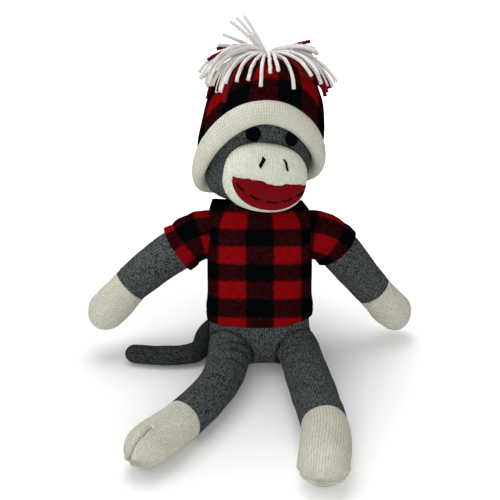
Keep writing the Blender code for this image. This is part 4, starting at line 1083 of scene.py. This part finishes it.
def strand_path(azimuth, elevation, length, droop, clearance, jitter):
    """A strand's line from the knot: it leaves at its elevation, bends down, and drapes over the crown."""
    steps = 26
    knot = np.array((HAT_SHIFT + CROWN_LEAN, 0, CROWN_HEIGHT + TUFT_KNOT_RADIUS * 0.9))
    point = knot.copy()
    path = [point.copy()]
    for step in range(steps):
        share = step / steps
        level = elevation - droop * share ** 1.25
        swing = azimuth + jitter * math.sin(3.1 * share)
        flat = math.cos(level)
        way = np.array((flat * math.cos(swing), flat * math.sin(swing), math.sin(level)))
        point = point + way * length / steps
        point[2] = max(point[2], crown_height_at(point[0], point[1]) + clearance)
        path.append(point.copy())
    return np.array(path)


def strand_grid(path):
    radii = np.full(len(path), YARN_RADIUS)
    radii[0] *= 0.7
    radii[-1] *= 1.08
    return placed(tube(path, radii, 12, 3, 0.17, TURN / YARN_TWIST), TORSO_AXIS)


# Each row: how many strands, then from and to of azimuth, elevation and droop in degrees, length and
# height over the crown in millimetres. Azimuth 0 is the doll's left, -90 its front.
WHITE_STRANDS = (
    (19, (160, 222), (2, 22), (78, 100), (66, 80), (5, 12)),
    (7, (-24, 18), (8, 26), (38, 54), (44, 55), (6, 11)),
    (5, (-44, -4), (2, 14), (70, 86), (64, 78), (5, 8)),
    (10, (-142, -38), (0, 14), (60, 90), (62, 80), (4, 7)),
    (20, (24, 156), (4, 24), (62, 86), (54, 68), (5, 10)),
    (1, (180, 181), (46, 47), (10, 11), (47, 48), (4, 5)),
    (1, (184, 185), (54, 55), (10, 11), (45, 46), (4, 5)),
    (1, (177, 178), (63, 64), (10, 11), (43, 44), (4, 5)),
    (1, (180, 181), (30, 31), (12, 13), (47, 48), (4, 5)),
    (1, (176, 177), (18, 19), (14, 15), (48, 49), (5, 6)),
)
RED_STRANDS = (
    (3, (170, 196), (14, 26), (40, 56), (50, 60), (9, 13)),
    (14, (164, 228), (-10, 4), (76, 98), (66, 82), (2, 4)),
    (18, (-50, 24), (-12, 12), (70, 94), (62, 79), (2, 6)),
    (6, (-134, -52), (-20, -6), (60, 80), (46, 60), (2, 3)),
    (20, (26, 160), (-18, 2), (56, 80), (54, 68), (2, 4)),
    (1, (2, 6), (20, 24), (10, 14), (44, 46), (4, 5)),
)


def strands(table, chance):
    grids = []
    for count, azimuths, elevations, droops, lengths, heights in table:
        for i in range(count):
            share = (i + 0.5 + chance.uniform(-0.4, 0.4)) / count
            azimuth = azimuths[0] + (azimuths[1] - azimuths[0]) * share
            path = strand_path(math.radians(azimuth), math.radians(chance.uniform(*elevations)),
                               chance.uniform(*lengths) * MM, math.radians(chance.uniform(*droops)),
                               chance.uniform(*heights) * MM, chance.uniform(-0.14, 0.14))
            grids.append(strand_grid(path))
    return grids


def build_tuft():
    """The yarn pompom: white strands tied over red ones, lying over the crown's top."""
    chance = random.Random(TUFT_SEED)
    around = TURN * YARN_RADIUS
    piece = joined("pompom_white_yarn", strands(WHITE_STRANDS, chance), around)
    dress(piece, LOOKS["white_yarn"], "hat", ("pompom_white",))
    piece = joined("pompom_red_yarn", strands(RED_STRANDS, chance), around)
    dress(piece, LOOKS["red_yarn"], "hat", ("pompom_red",))


# Limbs

def bent_line(length, bends, shares):
    """Places on a flat line of straight runs and arcs, at shares of its length: ahead, aside, heading."""
    fine = np.linspace(0, 1, 601)
    heading = np.zeros_like(fine)
    done = 0.0
    for run, turn in bends:
        heading += math.radians(turn) * np.clip((fine - done) / run, 0, 1)
        done += run
    step = length * np.diff(fine)
    middle = (heading[1:] + heading[:-1]) / 2
    ahead = np.concatenate(([0], np.cumsum(step * np.cos(middle))))
    aside = np.concatenate(([0], np.cumsum(step * np.sin(middle))))
    return [np.interp(shares, fine, values) for values in (ahead, aside, heading)]


def limb_grid(length, bends, shares, radii, axes, rise, columns=72, phase=-math.pi / 2):
    ahead_axis, aside_axis, up_axis = (np.array(axis, float) for axis in axes)
    ahead, aside, heading = bent_line(length, bends, shares)
    turns = phase + turns_round(columns)
    rows = []
    for a, b, h, radius, up in zip(ahead, aside, heading, radii, rise):
        centre = a * ahead_axis + b * aside_axis + up * up_axis
        across = math.cos(h) * aside_axis - math.sin(h) * ahead_axis
        rows.append(centre + radius * (np.cos(turns)[:, None] * across + np.sin(turns)[:, None] * up_axis))
    return np.array(rows)


def limb_shares(length, tip_share, spacing):
    """Even steps along a limb, closer together over its rounded end."""
    straight = np.arange(0, tip_share, spacing / length)
    dome = tip_share + (1 - tip_share) * np.sin(np.linspace(0, math.pi / 2, 18))[:-1]
    return np.concatenate([straight, dome])


def domed(radii, shares, tip_share):
    close = np.clip((shares - tip_share) / (1 - tip_share), 0, 1)
    return radii * np.sqrt(1 - close ** 2.2)


def two_tone(names, grid, shares, seam_share, around, matrix, end, start=None):
    """A limb's grid as two pieces that meet at the seam: the grey tube and its cream end."""
    cut = int(np.searchsorted(shares, seam_share))
    grid = placed(grid, matrix)
    tip = matrix @ Vector(end)
    upper = lofted(names[0], grid[:cut + 1], around, start=start or grid[0].mean(0), end=grid[cut].mean(0))
    lower = lofted(names[1], grid[cut:], around, start=grid[cut].mean(0), end=tip, taper=True)
    return upper, lower


def shoulder_place(side):
    """The arm's frame in the torso's."""
    place = Matrix.Translation((SIGN[side] * (TORSO_HALF_WIDTH + GAP), 0, SHOULDER_HEIGHT))
    return place @ Matrix.Rotation(-ARM_SWING[side], 4, "X")


def arm_axes(side):
    return (SIGN[side], 0, 0), (0, 0, -1), (0, 1, 0)


def seam_groove(shares, seam, length):
    return 1 - 0.035 * bell((shares - seam) * length, 0.0, 1.3 * MM)


def build_arm(side):
    wrist = ARM_WRIST_share
    tip = 1 - 0.9 * ARM_RADIUS / ARM_LENGTH
    shares = limb_shares(ARM_LENGTH, tip, 2.2 * MM)
    radii = ARM_RADIUS * smooth(ARM_RADIUS_shares, shares) * seam_groove(shares, wrist, ARM_LENGTH)
    grid = limb_grid(ARM_LENGTH, ARM_BENDS[side], shares, domed(radii, shares, tip), arm_axes(side),
                     np.zeros_like(shares), phase=math.pi / 2)
    elbow = bell(shares, 0.42, 0.08)[:, None]
    grid = swollen(grid, lumps(grid, 17 * MM, 0.7 * MM, 40 + SIGN[side])
                   + lumps(grid * (2.2, 2.2, 2.2), 17 * MM, 0.35 * MM, 44) * elbow)
    ahead, aside, _ = bent_line(ARM_LENGTH, ARM_BENDS[side], np.array([1.0]))
    end = (SIGN[side] * ahead[0], 0, -aside[0])
    upper, lower = two_tone(("arm_knit_" + side, "hand_knit_" + side), grid, shares, wrist, LIMB_WALES * WALE,
                            TORSO_AXIS @ shoulder_place(side), end)
    body = "arm_" + side
    dress(upper, LOOKS["grey"], body, ("arm_skin_" + side, "arm_stuffing_" + side))
    dress(lower, LOOKS["cream"], body, ("hand_" + side,))


def shirt_half_width(depth, height):
    """How far out the shirt stands at a place of its side, in the torso's frame."""
    share = height / NECK_HEIGHT
    half_x, half_y = half_sizes(SHIRT_shares, share, GAP + FLEECE)
    inside = np.clip(1 - np.abs(depth / half_y) ** TORSO_SQUARENESS, 0, 1)
    return half_x * inside ** (1 / TORSO_SQUARENESS)


def build_sleeve(side):
    """A short sleeve: its root follows the shirt's side, and its end is a turned hem."""
    length = SLEEVE_LENGTH * SLEEVE_LENGTH_shares[side]
    cuff = length - HEM_WIDTH
    shares = np.linspace(0, length / ARM_LENGTH, 40)
    run = shares * ARM_LENGTH
    radii = SLEEVE_RADIUS + 0.4 * MM * np.sin(run / (6 * MM))
    radii = radii + 0.9 * MM / (1 + np.exp((cuff - run) / (0.4 * MM)))
    radii = radii - 0.6 * MM * bell(run, cuff, 0.9 * MM)
    grid = limb_grid(ARM_LENGTH, ARM_BENDS[side], shares, radii, arm_axes(side), np.zeros_like(shares), 96)
    grid = placed(grid, shoulder_place(side))
    reach = shirt_half_width(grid[0, :, 1], grid[0, :, 2]) - 0.8 * MM
    pull = (np.abs(grid[0, :, 0]) - reach)[None] * (1 - np.clip(run / (18 * MM), 0, 1)[:, None]) ** 2
    grid[..., 0] -= SIGN[side] * pull
    off_root = np.clip(run / (6 * MM), 0, 1)[:, None]
    grid = swollen(grid, lumps(grid, 11 * MM, 1.5 * MM, 50 + SIGN[side]) * off_root)
    sleeve = lofted("sleeve_cloth_" + side, placed(grid, TORSO_AXIS), 8 * SLEEVE_CHECK)
    dress(thickened(sleeve, FLEECE), LOOKS["sleeve_" + side], None, ("sleeve_" + side,))
    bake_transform(sleeve)


# Each row: where a fold crosses the thigh's inner side and its outer side, before the hip, and its depth
THIGH_FOLDS = {
    "right": ((9 * MM, 20 * MM, 3.0 * MM), (18 * MM, 32 * MM, 2.8 * MM), (29 * MM, 46 * MM, 2.0 * MM),
              (61 * MM, 84 * MM, 1.2 * MM)),
    "left": ((10 * MM, 30 * MM, 3.0 * MM), (20 * MM, 38 * MM, 2.6 * MM), (33 * MM, 60 * MM, 1.8 * MM),
             (60 * MM, 98 * MM, 1.6 * MM)),
}


def thigh_folds(grid, side, run):
    """Folds that fan out from the crotch over the thigh and fade on its outer side, and the painted shade
    that darkens the knit in them.
    """
    across = SIGN[side] * grid[..., 0] / thigh_radius(side)
    outer = np.clip((across + 1) / 2, 0, 1)
    upward = np.clip(0.4 + grid[..., 2] / thigh_radius(side), 0, 1)
    fade = np.clip(1.25 - outer, 0, 1) ** 1.3 * upward
    move = np.zeros(grid.shape[:2])
    crease_shade = np.zeros(grid.shape[:2])
    for inner_run, outer_run, depth in THIGH_FOLDS[side]:
        line = inner_run + (outer_run - inner_run) * outer ** 0.8
        off = (run - line) / (1.5 * MM)
        move += depth * (0.6 * bell(off, 2.0, 1.5) - bell(off))
        # Painted shade: how dark each fold is painted in the knit's colour.
        crease_shade = np.maximum(crease_shade, depth / (2.6 * MM) * bell(off, 0.0, 0.8))
    return move * fade, crease_shade * fade


def build_leg(side):
    hip = hip_centre(side)
    length = leg_length(side)
    tip = 1 - 0.95 * LEG_RADIUS / length
    shares = limb_shares(length, tip, 1.3 * MM)
    line, plain, heading = leg_shape(side, shares)
    radii = domed(plain * seam_groove(shares, LEG_ANKLE_share, length), shares, tip)
    axes = ((0, -1, 0), (SIGN[side], 0, 0), (0, 0, 1))
    grid = limb_grid(length, LEG_BENDS[side], shares, radii, axes, line[:, 2], 96)
    root = []
    for turn in np.linspace(math.pi / 2, 0, 16)[1:-1]:
        dome = grid[0] * (1, 0, 1) * math.cos(turn) + (0, thigh_radius(side) * math.sin(turn), 0)
        root.append(dome)
    grid = np.concatenate([root, grid])
    run = np.concatenate([-np.array(root)[:, 0, 1], shares * length])[:, None]
    move, crease_shade = thigh_folds(grid, side, run)
    grid = swollen(grid, move + lumps(grid, 19 * MM, 0.8 * MM, 60 + SIGN[side]))
    world = grid + np.array(hip)
    own, _ = thigh_distance(world, side)
    world, crease = flowed(world, own, torso_distance(world), torso_way(world))
    grid = world - np.array(hip)
    crease_shade = np.maximum(crease_shade, crease)
    end = Vector(line[-1])
    grid, seam = toe_seam(grid, side, end, SIGN[side] * heading[-1])
    grid[..., 2] = np.maximum(grid[..., 2], -hip.z)
    back = hip + Vector((0, thigh_radius(side), 0))
    places = np.concatenate([np.full(len(root), -1.0), shares])
    upper, lower = two_tone(("leg_knit_" + side, "foot_knit_" + side), grid, places, LEG_ANKLE_share,
                            LIMB_WALES * WALE, Matrix.Translation(hip), end, start=back)
    cut = int(np.searchsorted(places, LEG_ANKLE_share))
    # Painted shade: the thigh's folds and the groin crease on the leg, and the seam's groove on the foot.
    keep_crease_shade(upper, crease_shade[:cut + 1])
    keep_crease_shade(lower, seam[cut:])
    dress(upper, LOOKS["grey"], None, ("leg_skin_" + side, "leg_stuffing_" + side))
    dress(lower, LOOKS["cream"], "leg_" + side, ("foot_" + side,))
    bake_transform(upper)


def toe_seam(grid, side, end, heading):
    """The pinched seam that closes a foot: across the right foot's top and end, low across the left's."""
    ahead = Vector((math.sin(heading), -math.cos(heading), 0))
    across = Vector((math.cos(heading), math.sin(heading), 0))
    up = Vector((0, 0, 1))
    path = []
    for back, rise, aside in SEAM_ROUTES[side]:
        path.append(end - LEG_RADIUS * back * ahead + LEG_RADIUS * rise * up + LEG_RADIUS * aside * across)
    path = np.array(path)
    places = np.linspace(0, len(path) - 1, 29)
    line = np.stack([np.interp(places, np.arange(len(path)), path[:, axis]) for axis in range(3)], 1)
    points = grid.reshape(-1, 3)
    line = np.array([points[np.argmin(np.linalg.norm(points - place, axis=1))] for place in line])
    for _ in range(4):
        line[1:-1] = (line[:-2] + line[1:-1] + line[2:]) / 3
    far = distance_to(grid, line)
    pinch = SEAM_LIP * bell(far, SEAM_LIP_PLACE, SEAM_LIP_WIDTH) - SEAM_DEPTH * bell(far, 0.0, SEAM_WIDTH)
    # The second value is painted shade: it darkens the knit along the seam's groove.
    return swollen(grid, pinch), 0.9 * bell(far, 0.0, SEAM_SHADE_WIDTH)


# Tail

def tail_line():
    scale = TORSO_HALF_WIDTH
    points = [Vector((0, 0, 0))]
    points += [Vector((x * scale, y * scale - TAIL_ROOT_BACK, 0)) for x, y in TAIL_ROUTE_shares]
    fine = []
    for index in range(len(points) - 1):
        p0 = points[max(0, index - 1)]
        p1, p2 = points[index], points[index + 1]
        p3 = points[min(len(points) - 1, index + 2)]
        for step in range(12):
            t = step / 12
            fine.append(0.5 * (2 * p1 + (p2 - p0) * t + (2 * p0 - 5 * p1 + 4 * p2 - p3) * t * t
                               + (3 * p1 - p0 - 3 * p2 + p3) * t ** 3))
    fine.append(points[-1])
    return np.array(fine)


def build_tail():
    line = tail_line()
    run = run_along(line)
    line = np.stack([np.interp(np.linspace(0, run[-1], 110), run, line[:, k]) for k in range(3)], 1)
    share = np.linspace(0, 1, len(line))
    radii = TAIL_RADIUS * (1 - (1 - TAIL_TIP_share) * share)
    line[:, 2] = radii - TAIL_RADIUS
    girth = radii[-1]
    way = unit(line[-1] - line[-3])
    turns = np.linspace(0, math.pi / 2, 14)[1:-1]
    dome = line[-1] + girth * np.sin(turns)[:, None] * way
    line = np.concatenate([line, dome])
    radii = np.concatenate([radii, girth * np.cos(turns)])
    grid = tube(line, radii, 56)
    grid = swollen(grid, lumps(grid, 12 * MM, 0.6 * MM, 71))
    grid[..., 2] = np.maximum(grid[..., 2], -TAIL_RADIUS)
    grid = placed(grid, Matrix.Translation((0, TAIL_ROOT_BACK, TAIL_RADIUS + GAP)))
    start = (0, TAIL_ROOT_BACK - TAIL_RADIUS * 0.6, TAIL_RADIUS)
    tail = lofted("tail_knit", grid, TAIL_WALES * WALE, start=start, end=grid[-1].mean(0) + way * 0.6 * MM)
    dress(tail, LOOKS["charcoal"], "tail", ("tail_skin", "tail_stuffing"))


# Studio

def area_light(name, place, target, size, watts):
    light = bpy.data.lights.new(name, "AREA")
    light.shape = "DISK"
    light.size = size
    light.energy = watts
    lamp = bpy.data.objects.new(name, light)
    bpy.context.scene.collection.objects.link(lamp)
    lamp.location = place
    lamp.rotation_euler = (Vector(target) - Vector(place)).to_track_quat("-Z", "Y").to_euler()


def build_floor():
    """A pale floor that a camera sees as pure white away from the doll."""
    mesh = bpy.data.meshes.new("studio_floor")
    corners = [(x * FLOOR_REACH, y * FLOOR_REACH, 0) for x, y in ((-1, -1), (1, -1), (1, 1), (-1, 1))]
    mesh.from_pydata(corners, [], [(0, 1, 2, 3)])
    floor = made("studio_floor", mesh)
    s = Shader("studio_white", specular=0.1)
    place = s.read("NewGeometry", "Position")
    distance = s.fed("VectorMath", (place, SHADOW_MIDDLE), "Value", operation="DISTANCE")
    white = s.remap(distance, SHADOW_NEAR, SHADOW_FAR, 0.02, 1.0, smooth_step=True)
    s.set(base_color=(FLOOR_WHITE, FLOOR_WHITE, FLOOR_WHITE, 1), emission_color=(1, 1, 1, 1),
          emission_strength=s.read("LightPath", "Is Camera Ray") * white)
    mesh.materials.append(s.material)


def build_sky():
    """Even light from all round, seen as white by the camera and in reflections."""
    world = bpy.data.worlds.new("studio")
    world.use_nodes = True
    bpy.context.scene.world = world
    sky = world.node_tree.nodes["Background"]
    sky.inputs["Color"].default_value = (1, 1, 1, 1)
    s = Nodes(world.node_tree)
    seen = s.read("LightPath", "Is Camera Ray").at_least(s.read("LightPath", "Is Glossy Ray"))
    s.put(sky.inputs["Strength"], s.remap(seen, 0.0, 1.0, SKY_STRENGTH, 1.0))


def build_studio():
    scene = bpy.context.scene
    scene.view_settings.view_transform = "Standard"
    build_sky()
    build_floor()
    for light in LIGHTS:
        area_light(*light)
    camera = bpy.data.cameras.new("camera")
    camera.lens = CAMERA_LENS
    camera.sensor_width = CAMERA_SENSOR
    eye = bpy.data.objects.new("camera", camera)
    scene.collection.objects.link(eye)
    eye.location = (CAMERA_SHIFT, -CAMERA_DISTANCE * math.cos(CAMERA_ELEVATION),
                    CAMERA_TARGET_HEIGHT + CAMERA_DISTANCE * math.sin(CAMERA_ELEVATION))
    eye.rotation_euler = (math.pi / 2 - CAMERA_ELEVATION, 0, 0)
    scene.camera = eye


build_studio()
build_torso()
build_shirt()
build_head()
build_muzzle()
build_lips()
build_stitches()
build_nostrils()
build_eyes()
build_crown()
build_brim()
build_tuft()
for side in SIDES:
    build_arm(side)
    build_sleeve(side)
    build_leg(side)
build_tail()
